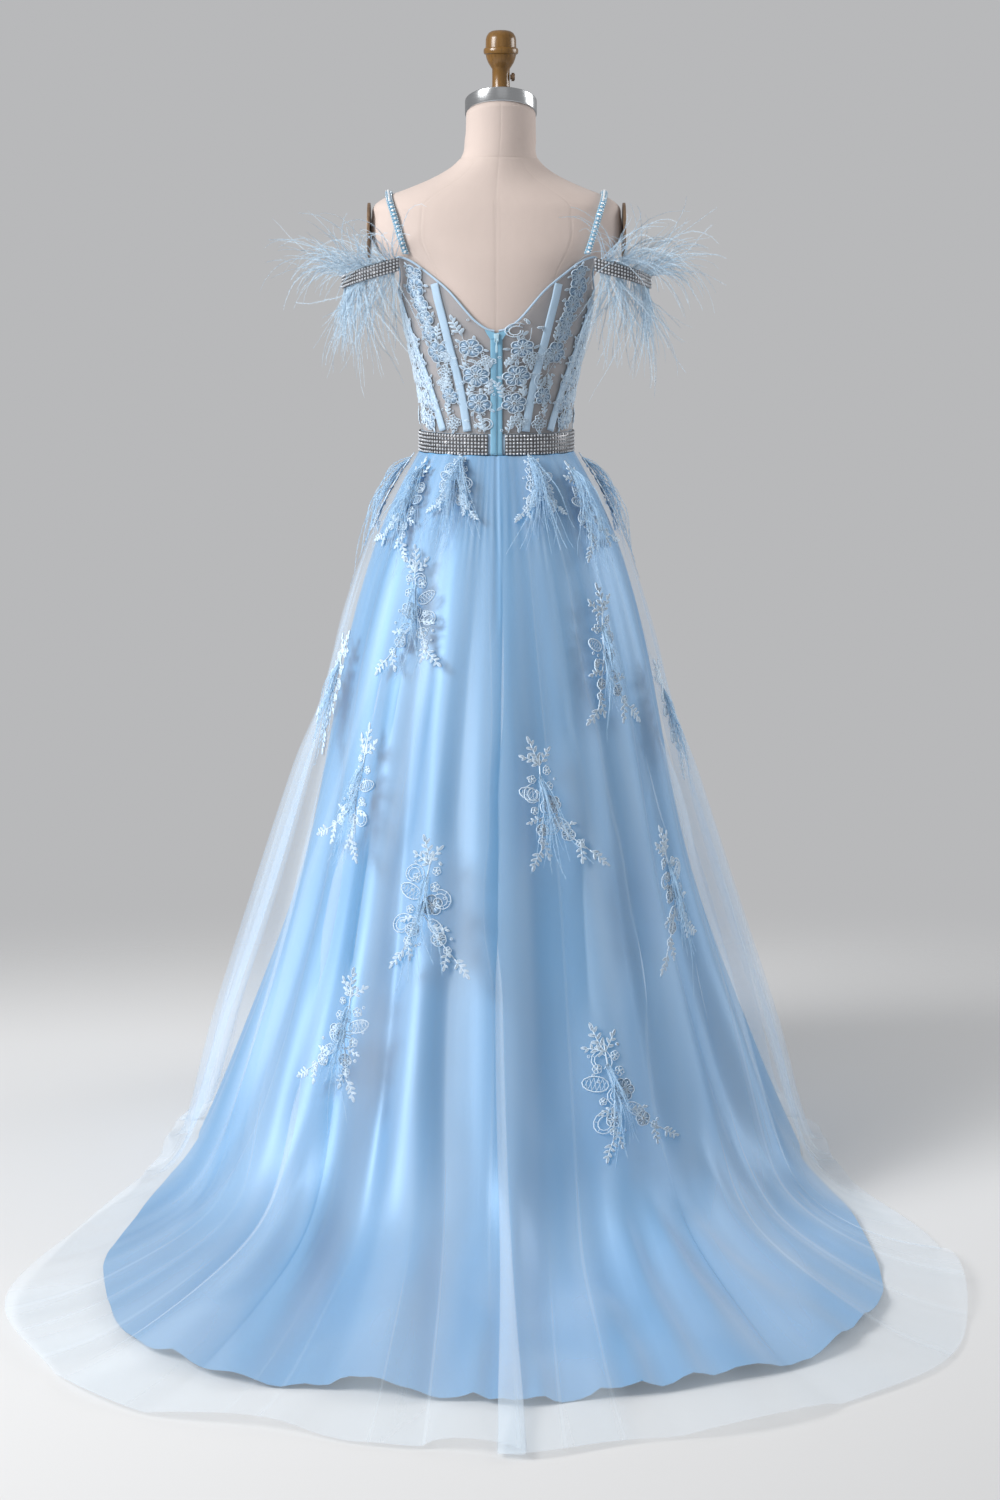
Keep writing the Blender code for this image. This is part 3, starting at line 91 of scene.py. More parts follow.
BODY = np.array((  # height, half width, back, front, squareness
    (0.790, 0.140, 0.092, 0.080, 2.2),
    (0.820, 0.154, 0.102, 0.088, 2.2),
    (0.880, 0.164, 0.118, 0.099, 2.2),
    (0.950, 0.156, 0.113, 0.095, 2.2),
    (1.010, 0.132, 0.098, 0.089, 2.2),
    (1.052, 0.1145, 0.0895, 0.0865, 2.1),
    (1.0765, 0.1108, 0.0880, 0.0855, 2.1),
    (1.100, 0.1115, 0.0880, 0.0870, 2.1),
    (1.160, 0.117, 0.091, 0.094, 2.1),
    (1.225, 0.129, 0.098, 0.109, 2.2),
    (1.285, 0.141, 0.101, 0.122, 2.2),
    (1.330, 0.152, 0.099, 0.112, 2.2),
    (1.352, 0.172, 0.096, 0.104, 2.2),
    (1.370, 0.185, 0.092, 0.094, 2.2),
    (1.405, 0.186, 0.084, 0.080, 2.2),
    (1.425, 0.180, 0.078, 0.071, 2.2),
    (1.437, 0.161, 0.073, 0.066, 2.1),
    (1.448, 0.132, 0.068, 0.063, 2.1),
    (1.462, 0.099, 0.063, 0.060, 2.0),
    (1.477, 0.073, 0.059, 0.057, 2.0),
    (1.492, 0.058, 0.056, 0.055, 2.0),
    (1.520, 0.0535, 0.0535, 0.0535, 2.0),
    (1.570, 0.0520, 0.0520, 0.0520, 2.0),
))
TOP_EDGE = np.array((  # angle, height
    (0, 1.2405), (4, 1.2430), (10, 1.2525), (27, 1.2990), (40, 1.3240), (50, 1.3440),
    (57, 1.3460), (68, 1.3230), (80, 1.3030), (94, 1.2950), (108, 1.3020), (120, 1.3320),
    (128, 1.3460), (136, 1.3410), (155, 1.3130), (180, 1.2900),
))
SKIRT_FALL = np.array((  # height, side share, centre share, tulle's gap
    (0.000, 1.000, 1.000, 0.028),
    (0.050, 0.914, 0.935, 0.030),
    (0.130, 0.806, 0.835, 0.036),
    (0.240, 0.674, 0.715, 0.042),
    (0.350, 0.556, 0.615, 0.045),
    (0.460, 0.466, 0.530, 0.043),
    (0.570, 0.406, 0.455, 0.034),
    (0.680, 0.356, 0.385, 0.020),
    (0.790, 0.300, 0.300, 0.013),
    (0.890, 0.225, 0.205, 0.010),
    (0.970, 0.145, 0.115, 0.007),
    (1.020, 0.068, 0.050, 0.0045),
    (SKIRT_TOP, 0.000, 0.000, 0.0005),
))
FOLDS = np.array((  # crest angle, half width, depth in mm, slant in degrees to the hem
    (4, 11, 10, -2), (25, 12, 15, 3), (47, 11, 17, 2), (70, 12, 20, 0), (93, 11, 15, -2),
    (116, 12, 17, 0), (140, 13, 15, 2), (164, 11, 12, 0), (187, 12, 14, 0), (212, 13, 16, -2),
    (236, 12, 14, 0), (259, 11, 17, 2), (282, 12, 20, 3), (304, 10, 22, 4), (323, 10, 21, 3),
    (342, 10, 16, 0),
))
FOLD_HEIGHTS = (0.0, 0.12, 0.45, 0.80, 1.00, SKIRT_TOP)
FOLD_GROWTH = (0.90, 1.25, 0.95, 0.36, 0.08, 0.00)

# Creases of the satin between the large folds: angle and half width in degrees, depth outwards in
# mm, upper and lower height, slant in degrees
CREASES = (
    (-61, 3.0, 4.0, 1.02, 0.30, 3), (-48, 2.6, -4.5, 0.95, 0.05, 4), (-41, 2.2, 4.0, 0.90, 0.20, 5),
    (-30, 2.6, -5.0, 0.80, 0.02, 2), (-25, 2.0, 4.0, 0.62, 0.05, 3), (-12, 2.4, -4.0, 0.90, 0.20, 0),
    (-5, 1.8, 3.0, 1.00, 0.45, 0), (13, 2.4, -3.0, 0.95, 0.20, 1), (18, 2.2, 3.0, 0.55, 0.02, 2),
    (34, 2.6, -3.5, 0.98, 0.15, 2), (39, 2.0, 2.5, 0.80, 0.30, 2), (58, 3.0, -4.0, 0.95, 0.04, 0),
    (65, 2.2, 3.0, 0.75, 0.20, -1), (82, 3.0, -4.0, 0.90, 0.06, 0), (104, 3.0, 4.0, 0.95, 0.10, 1),
    (128, 3.2, -4.0, 0.90, 0.08, 0), (151, 3.0, 3.5, 0.85, 0.12, -1), (172, 2.6, -4.0, 0.98, 0.20, 0),
    (179, 2.2, 3.0, 0.80, 0.10, 1), (199, 3.0, -4.0, 0.92, 0.08, 0), (224, 3.0, 3.5, 0.96, 0.10, 0),
    (247, 3.0, -4.5, 0.90, 0.06, 2), (270, 3.0, 4.0, 0.85, 0.12, 1), (291, 2.6, -4.0, 0.95, 0.10, 2),
)

SEAMS = {  # angle at the waist and at the top edge
    "centre": (0.0, 0.0), "inner": (20.5, 36.0), "outer": (42.0, 79.0),
    "side": (76.0, 104.0), "front": (146.0, 134.0), "front_left": (214.0, 226.0),
}
BODICE_PANELS = (  # name, from seam, to seam, flat width and length, cut area
    ("back", "centre", "inner", (0.094, 0.228), 0.0107),
    ("side_back", "inner", "outer", (0.100, 0.258), 0.0155),
    ("side", "outer", "side", (0.082, 0.216), 0.0116),
    ("side_front", "side", "front", (0.142, 0.262), 0.0218),
)
FRONT_PANEL = ((0.252, 0.258), 0.0392)  # flat width and length, cut area
ARM_LOOP = np.array((  # the middle line of the right arm band
    (0.1430, -0.0670, 1.3385), (0.1660, -0.0670, 1.3320), (0.1950, -0.0560, 1.3240),
    (0.2180, -0.0340, 1.3160), (0.2290, 0.0000, 1.3110), (0.2200, 0.0360, 1.3160),
    (0.1970, 0.0610, 1.3250), (0.1680, 0.0760, 1.3340), (0.1440, 0.0880, 1.3400),
))
STRAP_BACK = (  # across, height
    (0.1325, 1.3530), (0.1390, 1.3720), (0.1460, 1.3950), (0.1520, 1.4150), (0.1570, 1.4300),
)
STRAP_TOP = (0.1600, 1.4430)
FINIAL_PROFILE = (  # radius and height over the boss, in mm
    (16.5, 0.0), (16.5, 7.2), (15.8, 8.4), (13.4, 10.2), (13.0, 11.5), (12.8, 24.0), (13.0, 36.0),
    (15.4, 39.6), (18.6, 44.6), (21.2, 51.0), (22.4, 56.2), (24.9, 57.6), (25.5, 59.6),
    (25.5, 63.2), (24.7, 65.2), (22.7, 66.3), (22.5, 68.0), (22.3, 78.0), (21.2, 82.4),
    (18.2, 87.2), (13.6, 90.0), (8.0, 91.0), (0.0, 91.3),
)
STAND_PROFILE = (  # radius and height, in mm
    (0.0, 0.0), (167.0, 0.0), (170.0, 3.0), (169.4, 6.5), (166.0, 10.8), (110.0, 14.5), (51.0, 18.0),
    (34.0, 25.0), (27.2, 36.0), (20.0, 46.0), (16.0, 54.0), (16.0, 799.7), (0.0, 799.7),
)
SCREW_HEIGHT = 1.6080
ARM_PLATE_HEIGHT = 1.385
NECK_SEAM = 1.492

# Sprigs on the skirt: name, angle, height, length, spread, lean, turn in degrees, and whether it
# stands for a solid
SKIRT_SPRIGS = (
    ("upper_left", -36, 0.850, 0.172, 0.081, 0.014, -8, True),
    ("upper_right", 43, 0.785, 0.184, 0.076, -0.012, 8, True),
    ("middle_left", -42, 0.600, 0.172, 0.076, 0.016, 4, True),
    ("middle_right", 15, 0.595, 0.172, 0.086, -0.014, -10, True),
    ("lower_left", -14, 0.465, 0.172, 0.097, -0.012, -2, True),
    ("lower_right", 44, 0.455, 0.161, 0.076, 0.012, 4, True),
    ("hem_left", -32, 0.290, 0.161, 0.086, 0.012, 8, True),
    ("hem_right", 24, 0.225, 0.172, 0.103, -0.014, -16, True),
    ("edge_left", -72, 0.730, 0.149, 0.065, 0.010, 6, False),
    ("edge_right", 72, 0.690, 0.149, 0.059, -0.010, -6, False),
    ("front_upper_right", 128, 0.800, 0.172, 0.081, 0.012, 6, False),
    ("front_upper_left", 216, 0.830, 0.172, 0.081, -0.012, -6, False),
    ("front_middle", 176, 0.640, 0.172, 0.086, 0.014, 8, False),
    ("front_lower_right", 140, 0.430, 0.172, 0.092, -0.012, -4, False),
    ("front_lower_left", 222, 0.470, 0.172, 0.086, 0.012, 6, False),
    ("front_hem", 184, 0.270, 0.172, 0.097, -0.012, 8, False),
)
WAIST_SPRIGS = (
    ("waist_left", -55, 0.990, 0.142, 0.062, 0.006, 4, True),
    ("waist_back_left", -23, 1.020, 0.096, 0.068, -0.004, 0, True),
    ("waist_back_right", 23, 1.019, 0.098, 0.068, 0.004, 0, True),
    ("waist_right", 55, 0.986, 0.137, 0.062, -0.006, -4, True),
    ("waist_front_left", -140, 1.010, 0.105, 0.060, 0.005, 0, True),
    ("waist_front_right", 140, 1.010, 0.105, 0.060, -0.005, 0, True),
    ("waist_side_left", -96, 1.000, 0.115, 0.056, 0.005, 0, False),
    ("waist_side_right", 96, 1.000, 0.115, 0.056, -0.005, 0, False),
)
# Cells of the bodice's lace on each panel: angle, height, radius in mm
BODICE_LACE = {
    "back": ((8, 1.103, 8), (16, 1.112, 11), (12, 1.138, 16), (4.5, 1.158, 8), (20, 1.157, 8),
             (13, 1.178, 17), (5.5, 1.199, 9), (22, 1.203, 10), (15, 1.219, 14), (20, 1.248, 12.5)),
    "side_back": ((32, 1.108, 12), (37, 1.126, 8), (34, 1.148, 14), (40, 1.166, 9), (36, 1.182, 12),
                  (32, 1.166, 8), (40, 1.212, 17), (33, 1.205, 10), (45, 1.240, 13), (38, 1.238, 8),
                  (46, 1.260, 13), (49, 1.281, 14), (53, 1.305, 18), (50, 1.327, 13)),
    "side": ((56, 1.108, 13), (66, 1.116, 14), (52, 1.134, 13), (62, 1.142, 14), (72, 1.146, 13),
             (56, 1.166, 14), (67, 1.172, 15), (78, 1.178, 13), (60, 1.196, 13), (71, 1.204, 15),
             (83, 1.210, 14), (64, 1.226, 13), (76, 1.234, 15), (88, 1.242, 14), (70, 1.256, 12),
             (81, 1.264, 13), (93, 1.268, 12), (77, 1.284, 10)),
    "front": ((100, 1.112, 13), (114, 1.126, 14), (104, 1.150, 14), (120, 1.160, 15), (108, 1.184, 14),
              (124, 1.196, 15), (112, 1.220, 14), (128, 1.232, 15), (118, 1.256, 14), (131, 1.270, 14),
              (124, 1.294, 13), (132, 1.314, 10), (156, 1.112, 14), (168, 1.122, 14), (160, 1.146, 15),
              (172, 1.158, 14), (158, 1.180, 15), (170, 1.192, 15), (160, 1.216, 15), (173, 1.228, 14),
              (157, 1.250, 13), (168, 1.262, 12), (150, 1.284, 10)),
}

# ---------------------------------------------------------------- choices for the looks

SIDES = ((-1, "L"), (1, "R"))
SIDEWAYS = (0, math.pi / 2, 0)  # the turn that lays a cylinder across
BELT_GAP = 0.6 * MM  # from the belt's top to the bodice's cloth
SATIN_THICKNESS = 0.9 * MM
SATIN_LOWEST, TULLE_LOWEST = 1.4 * MM, 1.5 * MM
CREASE_DEPTH, CREASE_WIDTH = 0.8, 1.6  # shares of the sizes in CREASES
SEAM_DEPTH = 1.6 * MM  # of the satin's centre-back seam
SKIRT_ROWS = 96
TULLE_HEM_ROWS = 14  # past the satin's hem
TULLE_FOLDS, TULLE_GATHERS = 26, 96  # all round
TULLE_LOOSENESS = 13 * MM  # the room for folds where the tulle lies on the floor
# Rounds of softening, as shares of the rows squared
STEADY, FLOWING, FLOWING_TULLE = 0.0028, 0.0080, 0.004
# Points along each strip, and up a bodice panel
BODY_STEPS, CHANNEL_STEPS, STRAP_STEPS, BAND_STEPS, BELT_STEPS = 40, 50, 60, 90, 240
ARM_ROWS, ARM_RISE = 4, 4.9 * MM
BELT_ROWS, BELT_RISE = 6, 5.25 * MM
STRAP_ROW_LIFT = 1.25 * MM
STRAP_SIDE_ROW = 3.8 * MM  # from the middle row
BODICE_CORD, SPRIG_CORD = 1.6, 1.65  # widths, as shares of the lace cord's
SMALL_CELL, BIG_CELL = 9 * MM, 13 * MM  # under the first a fern, from the second a big flower
VEINED_FLOWER = 11 * MM  # a flower's petals have veins over this radius
BRIDGE_REACH = 36 * MM  # the farthest that two cells are joined


# ---------------------------------------------------------------- settings

def length_setting(name, description, default, low, high):
    """A length given in mm."""
    return bpy.props.FloatProperty(
        name=name, description=description, default=default * MM, min=low * MM, max=high * MM, unit="LENGTH")


def count_setting(name, description, default, low, high):
    return bpy.props.IntProperty(name=name, description=description, default=default, min=low, max=high)


class GownSizes(bpy.types.PropertyGroup):
    belt_pitch: length_setting("Belt stone pitch", "From one stone of the belt to the next", 5.2, 3, 10)
    band_pitch: length_setting("Arm band stone pitch", "From one stone of a band to the next", 5.0, 3, 10)
    strap_pitch: length_setting("Strap crystal pitch", "From one crystal of a strap to the next", 6.2, 2, 10)
    lace_cord: length_setting("Lace cord", "Width of the cord that outlines the lace", 0.95, 0.4, 2)
    sleeve_feathers: count_setting("Sleeve feathers", "Ostrich strands on each arm band", 300, 50, 800)
    tuft_feathers: count_setting("Tuft feathers", "Ostrich strands on each sprig of the skirt", 24, 4, 60)
    satin_columns: count_setting("Satin columns", "Points round the satin", 324, 120, 720)
    tulle_columns: count_setting("Tulle columns", "Points round the tulle", 720, 240, 1200)


def colour_setting(name, description, default):
    return bpy.props.FloatVectorProperty(
        name=name, description=description, default=default, size=3, min=0, max=1, subtype="COLOR")


class GownColours(bpy.types.PropertyGroup):
    satin: colour_setting("Satin", "Blue of the satin", (0.092, 0.300, 0.550))
    tulle: colour_setting("Tulle", "Blue of the tulle", (0.750, 0.855, 0.955))
    lace: colour_setting("Lace", "Pale blue of the corded lace", (0.670, 0.815, 0.950))
    feather: colour_setting("Feathers", "Pale blue of the feathers", (0.630, 0.805, 0.955))
    channel: colour_setting("Channels", "Satin of the boning channels and edges", (0.440, 0.600, 0.760))
    zip_tape: colour_setting("Zip", "Blue of the zip tapes", (0.230, 0.470, 0.640))
    mesh: colour_setting("Sheer mesh", "Grey of the bodice's mesh", (0.390, 0.415, 0.450))
    linen: colour_setting("Linen", "Cream of the form's cover", (0.635, 0.530, 0.480))
    varnish: colour_setting("Varnish", "Brown of the finial", (0.180, 0.088, 0.018))


# ---------------------------------------------------------------- curves and the body

def smooth(at, places, values):
    """A smooth curve through the points (places, values), read at many places."""
    places, values = np.asarray(places, float), np.asarray(values, float)
    at = np.clip(np.asarray(at, float), places[0], places[-1])
    cell = np.clip(np.searchsorted(places, at) - 1, 0, len(places) - 2)
    slopes = np.gradient(values, places)
    span = places[cell + 1] - places[cell]
    s = (at - places[cell]) / span
    start = (1 + 2 * s) * (1 - s) ** 2 * values[cell] + s * (1 - s) ** 2 * span * slopes[cell]
    end = s * s * (3 - 2 * s) * values[cell + 1] + s * s * (s - 1) * span * slopes[cell + 1]
    return start + end


def ease(share):
    """A share from 0 to 1, started and ended softly."""
    share = np.clip(share, 0.0, 1.0)
    return share * share * (3 - 2 * share)


def unit(vectors):
    length = np.linalg.norm(vectors, axis=-1, keepdims=True)
    return vectors / np.maximum(length, 1e-12)


def body_section(height):
    """The form's half width, back, front and squareness at a height."""
    return [smooth(height, BODY[:, 0], BODY[:, k]) for k in (1, 2, 3, 4)]


def body(height, angle, out=0.0):
    """Points of the form's skin, moved outwards."""
    height, angle = np.broadcast_arrays(np.asarray(height, float), np.asarray(angle, float))
    half_width, back, front, squareness = body_section(height)
    across, along = compass(angle)
    power = 2 / squareness
    x = (half_width + out) * np.sign(across) * np.abs(across) ** power
    y = (np.where(along < 0, back, front) + out) * np.sign(along) * np.abs(along) ** power
    lean = NECK_LEAN * ease((height - 1.430) / 0.110)
    return np.stack([x + lean, y, height], axis=-1)


def body_out(height, angle):
    """Directions straight out of the form's skin, with its slope."""
    around = body(height, np.asarray(angle) + 1.0) - body(height, np.asarray(angle) - 1.0)
    upwards = body(np.asarray(height) + 2 * MM, angle) - body(np.asarray(height) - 2 * MM, angle)
    return unit(np.cross(around, upwards))


def top_edge(angle):
    """The height of the bodice's top edge."""
    off_back = np.abs(off_angle(np.asarray(angle, float)))
    return smooth(off_back, TOP_EDGE[:, 0], TOP_EDGE[:, 1])


def skin_depth(across, height):
    """How far behind and in front of the middle the form's skin is."""
    half_width, back, front, squareness = body_section(height)
    beside = np.minimum(np.abs(across) / half_width, 1.0) ** squareness
    share = np.maximum(0.0, 1 - beside) ** (1 / squareness)
    return back * share, front * share


def lengths_along(line):
    """How far each point of a line is from its start."""
    return np.concatenate([[0.0], np.cumsum(np.linalg.norm(np.diff(line, axis=0), axis=1))])


def spaced(line, shares):
    """Points at shares of a line's length."""
    line = np.asarray(line, float)
    lengths = lengths_along(line)
    at = np.asarray(shares) * lengths[-1]
    return np.stack([np.interp(at, lengths, line[:, k]) for k in range(line.shape[1])], axis=-1)


def smooth_line(points, count):
    """A smooth evenly spaced line through a few points."""
    points = np.asarray(points, float)
    keys = np.arange(len(points))
    fine = np.linspace(0, len(points) - 1, 12 * len(points))
    line = np.stack([smooth(fine, keys, points[:, k]) for k in range(points.shape[1])], axis=-1)
    return spaced(line, np.linspace(0, 1, count))


def line_length(line):
    return float(np.linalg.norm(np.diff(line, axis=0), axis=1).sum())


def off_angle(angle):
    """An angle brought between -180 and 180 degrees."""
    return (angle + 180) % 360 - 180


def compass(degrees):
    """The sine and the negative cosine: across to the right and along to the front."""
    return np.sin(np.radians(degrees)), -np.cos(np.radians(degrees))


# ---------------------------------------------------------------- making meshes

def clear_choice():
    for thing in bpy.context.selected_objects:
        thing.select_set(False)


def mesh_object(name, points, faces, look, uv=None, smooth_shade=True, outwards=False):
    """An object of these points and faces; uv has one pair for each point."""
    made_mesh = bpy.data.meshes.new(name)
    made_mesh.from_pydata(np.asarray(points).tolist(), [], faces)
    if uv is not None:
        layer = made_mesh.uv_layers.new(name="UVMap")
        corners = np.zeros(len(made_mesh.loops), np.int32)
        made_mesh.loops.foreach_get("vertex_index", corners)
        layer.data.foreach_set("uv", np.asarray(uv, np.float32)[corners].ravel())
    if outwards:
        work = bmesh.new()
        work.from_mesh(made_mesh)
        bmesh.ops.recalc_face_normals(work, faces=work.faces)
        work.to_mesh(made_mesh)
        work.free()
    if smooth_shade:
        made_mesh.polygons.foreach_set("use_smooth", np.ones(len(made_mesh.polygons), bool))
    for one in look if isinstance(look, (list, tuple)) else [look]:
        made_mesh.materials.append(one)
    made = bpy.data.objects.new(name, made_mesh)
    bpy.context.scene.collection.objects.link(made)
    return made


def grid_faces(rows, columns, closed=False, start=0):
    """Quads between the points of a grid, counted row by row."""
    across = np.arange(columns if closed else columns - 1)
    a = (np.arange(rows - 1)[:, None] * columns + across).ravel()
    b = (np.arange(rows - 1)[:, None] * columns + (across + 1) % columns).ravel()
    return np.stack([a, b, b + columns, a + columns], axis=1) + start


def grid_uv(grid):
    """Flat cloth sizes of a grid's points: x along its rows and y down its columns, in metres."""
    across = np.linalg.norm(np.diff(grid, axis=1), axis=2)
    widest = across.mean(axis=0)
    u = np.concatenate([[0.0], np.cumsum(widest)])
    down = np.linalg.norm(np.diff(grid, axis=0), axis=2).mean(axis=1)
    v = np.concatenate([[0.0], np.cumsum(down)])
    return np.stack(np.meshgrid(u, v), axis=-1).reshape(-1, 2)


def cloth(name, grid, look, thickness=0.0, begin=0.0, outs=None):
    """A sheet of cloth through a grid of points whose faces look outwards, with a wall if asked."""
    rows, columns = grid.shape[:2]
    faces = grid_faces(rows, columns)
    uv = grid_uv(grid) + (begin, 0)
    out = grid_out(grid) if outs is None else outs
    if not thickness:
        made = mesh_object(name, grid.reshape(-1, 3), faces[:, ::-1].tolist(), look, uv)
        made.data.normals_split_custom_set_from_vertices(out.reshape(-1, 3).tolist())
        return made
    points = np.concatenate([grid.reshape(-1, 3), (grid - out * thickness).reshape(-1, 3)])
    points[:, 2] = np.maximum(points[:, 2], 0.2 * MM)
    count = rows * columns
    index = np.arange(count).reshape(rows, columns)
    rim = np.concatenate([index[0, :-1], index[:-1, -1], index[-1, :0:-1], index[:0:-1, 0]])
    after = np.roll(rim, -1)
    sides = np.stack([rim, after, after + count, rim + count], axis=1)
    every = np.concatenate([faces[:, ::-1], faces + count, sides])
    made = mesh_object(name, points, every.tolist(), look, np.concatenate([uv, uv]))
    both = np.concatenate([out.reshape(-1, 3), -out.reshape(-1, 3)])
    made.data.normals_split_custom_set_from_vertices(both.tolist())
    return made


def grid_out(grid, closed=False):
    """The outward direction at each point of a grid that runs down and to greater angles."""
    down = np.gradient(grid, axis=0)
    if closed:
        across = np.roll(grid, -1, axis=1) - np.roll(grid, 1, axis=1)
    else:
        across = np.gradient(grid, axis=1)
    return unit(np.cross(down, across))


def swept(name, line, outs, sides, section, look):
    """A flat section, of (out, aside) pairs, carried along a line and closed at its ends. The
    directions are one for each point or one for all."""
    section = np.asarray(section, float)
    outs, sides = (np.broadcast_to(way, line.shape) for way in (outs, sides))
    rings = line[:, None] + outs[:, None] * section[None, :, :1] + sides[:, None] * section[None, :, 1:2]
    count = len(section)
    faces = grid_faces(len(line), count, closed=True).tolist()
    faces += [list(range(count)), list(range((len(line) - 1) * count, len(line) * count))]
    uv = np.stack(np.meshgrid(lengths_along(section), lengths_along(line)), axis=-1).reshape(-1, 2)
    return mesh_object(name, rings.reshape(-1, 3), faces, look, uv, outwards=True)


def soft_bar(width, thickness):
    """A strip's section: flat below, softly raised above."""
    across = np.linspace(-0.5, 0.5, 7)
    rise = thickness * (0.45 + 0.55 * np.cos(np.pi * across) ** 0.6)
    return [*zip(rise, across * width), (0.0, width / 2), (0.0, -width / 2)]


class Needlework:
    """Gathers many cords, patches and beads in flat sizes, each point (x, y, lift). Their looks are
    0 for cords, 1 for stones and 2 for net."""

    def __init__(self):
        self.blocks = []
        self.faces = []
        self.looks = []
        self.count = 0

    def add(self, points, faces, look=0):
        points = np.asarray(points, float)
        self.blocks.append(points)
        self.faces += [[k + self.count for k in face] for face in faces]
        self.looks += [look] * len(faces)
        self.count += len(points)

    def cord(self, line, cord, lift, wide=1.0, high=1.0, closed=False):
        """A raised cord of three sides along a flat line, its width and height in shares of the
        cord's width and its lift in mm."""
        line, width, height, lift = np.asarray(line, float), wide * cord, high * cord, lift * MM
        ahead = unit(np.roll(line, -1, axis=0) - np.roll(line, 1, axis=0) if closed
                     else np.gradient(line, axis=0))
        across = np.stack([-ahead[:, 1], ahead[:, 0]], axis=1)
        count = len(line)
        low = np.full((count, 1), lift)
        ring = np.stack([
            np.hstack([line - across * width / 2, low]),
            np.hstack([line + across * width / 2, low]),
            np.hstack([line, low + height]),
        ], axis=1).reshape(-1, 3)
        faces = grid_faces(count, 3, closed=True).tolist()
        if closed:
            last = 3 * (count - 1)
            faces += [[last + k, last + (k + 1) % 3, (k + 1) % 3, k] for k in range(3)]
        else:
            faces += [[0, 1, 2], [3 * count - 3, 3 * count - 2, 3 * count - 1]]
        self.add(ring, faces)

    def patch(self, outline, lift, crown):
        """A thin lens of cloth inside an outline, crowned at its middle."""
        outline = np.asarray(outline, float)
        count = len(outline)
        middle = outline.mean(axis=0)
        rim = np.hstack([outline, np.full((count, 1), lift)])
        points = np.vstack([rim, [[*middle, lift + crown]], [[*middle, lift - 0.1 * MM]]])
        faces = []
        for k in range(count):
            faces.append([k, (k + 1) % count, count])
            faces.append([(k + 1) % count, k, count + 1])
        self.add(points, faces, 2)

    def bead(self, at, radius, lift, look=0):
        """A small six-sided dome."""
        turns = np.linspace(0, 2 * math.pi, 7)[:-1]
        low, high = (np.stack([at[0] + wide * np.cos(turns), at[1] + wide * np.sin(turns), np.full(6, z)], 1)
                     for wide, z in ((radius, lift), (0.6 * radius, lift + 0.8 * radius)))
        faces = [[k, (k + 1) % 6, 6 + (k + 1) % 6, 6 + k] for k in range(6)]
        faces += [[6, 7, 8, 9, 10, 11], [5, 4, 3, 2, 1, 0]]
        self.add(np.vstack([low, high]), faces, look)

    def made(self, name, place, look):
        flat = np.vstack(self.blocks)
        made = mesh_object(name, place(flat[:, 0], flat[:, 1], flat[:, 2]), self.faces, look, flat[:, :2],
                           outwards=True)
        made.data.polygons.foreach_set("material_index", np.array(self.looks, np.int32))
        return made


# ---------------------------------------------------------------- materials

def node(tree, kind, output, inputs, **settings):
    """Adds a node, whose inputs are values or other nodes' outputs, and gives one of its outputs."""
    made = tree.nodes.new(kind)
    for key, value in settings.items():
        setattr(made, key, value)
    for key, value in inputs.items():
        if isinstance(value, bpy.types.NodeSocket):
            tree.links.new(value, made.inputs[key])
        else:
            made.inputs[key].default_value = value
    return made.outputs[output]


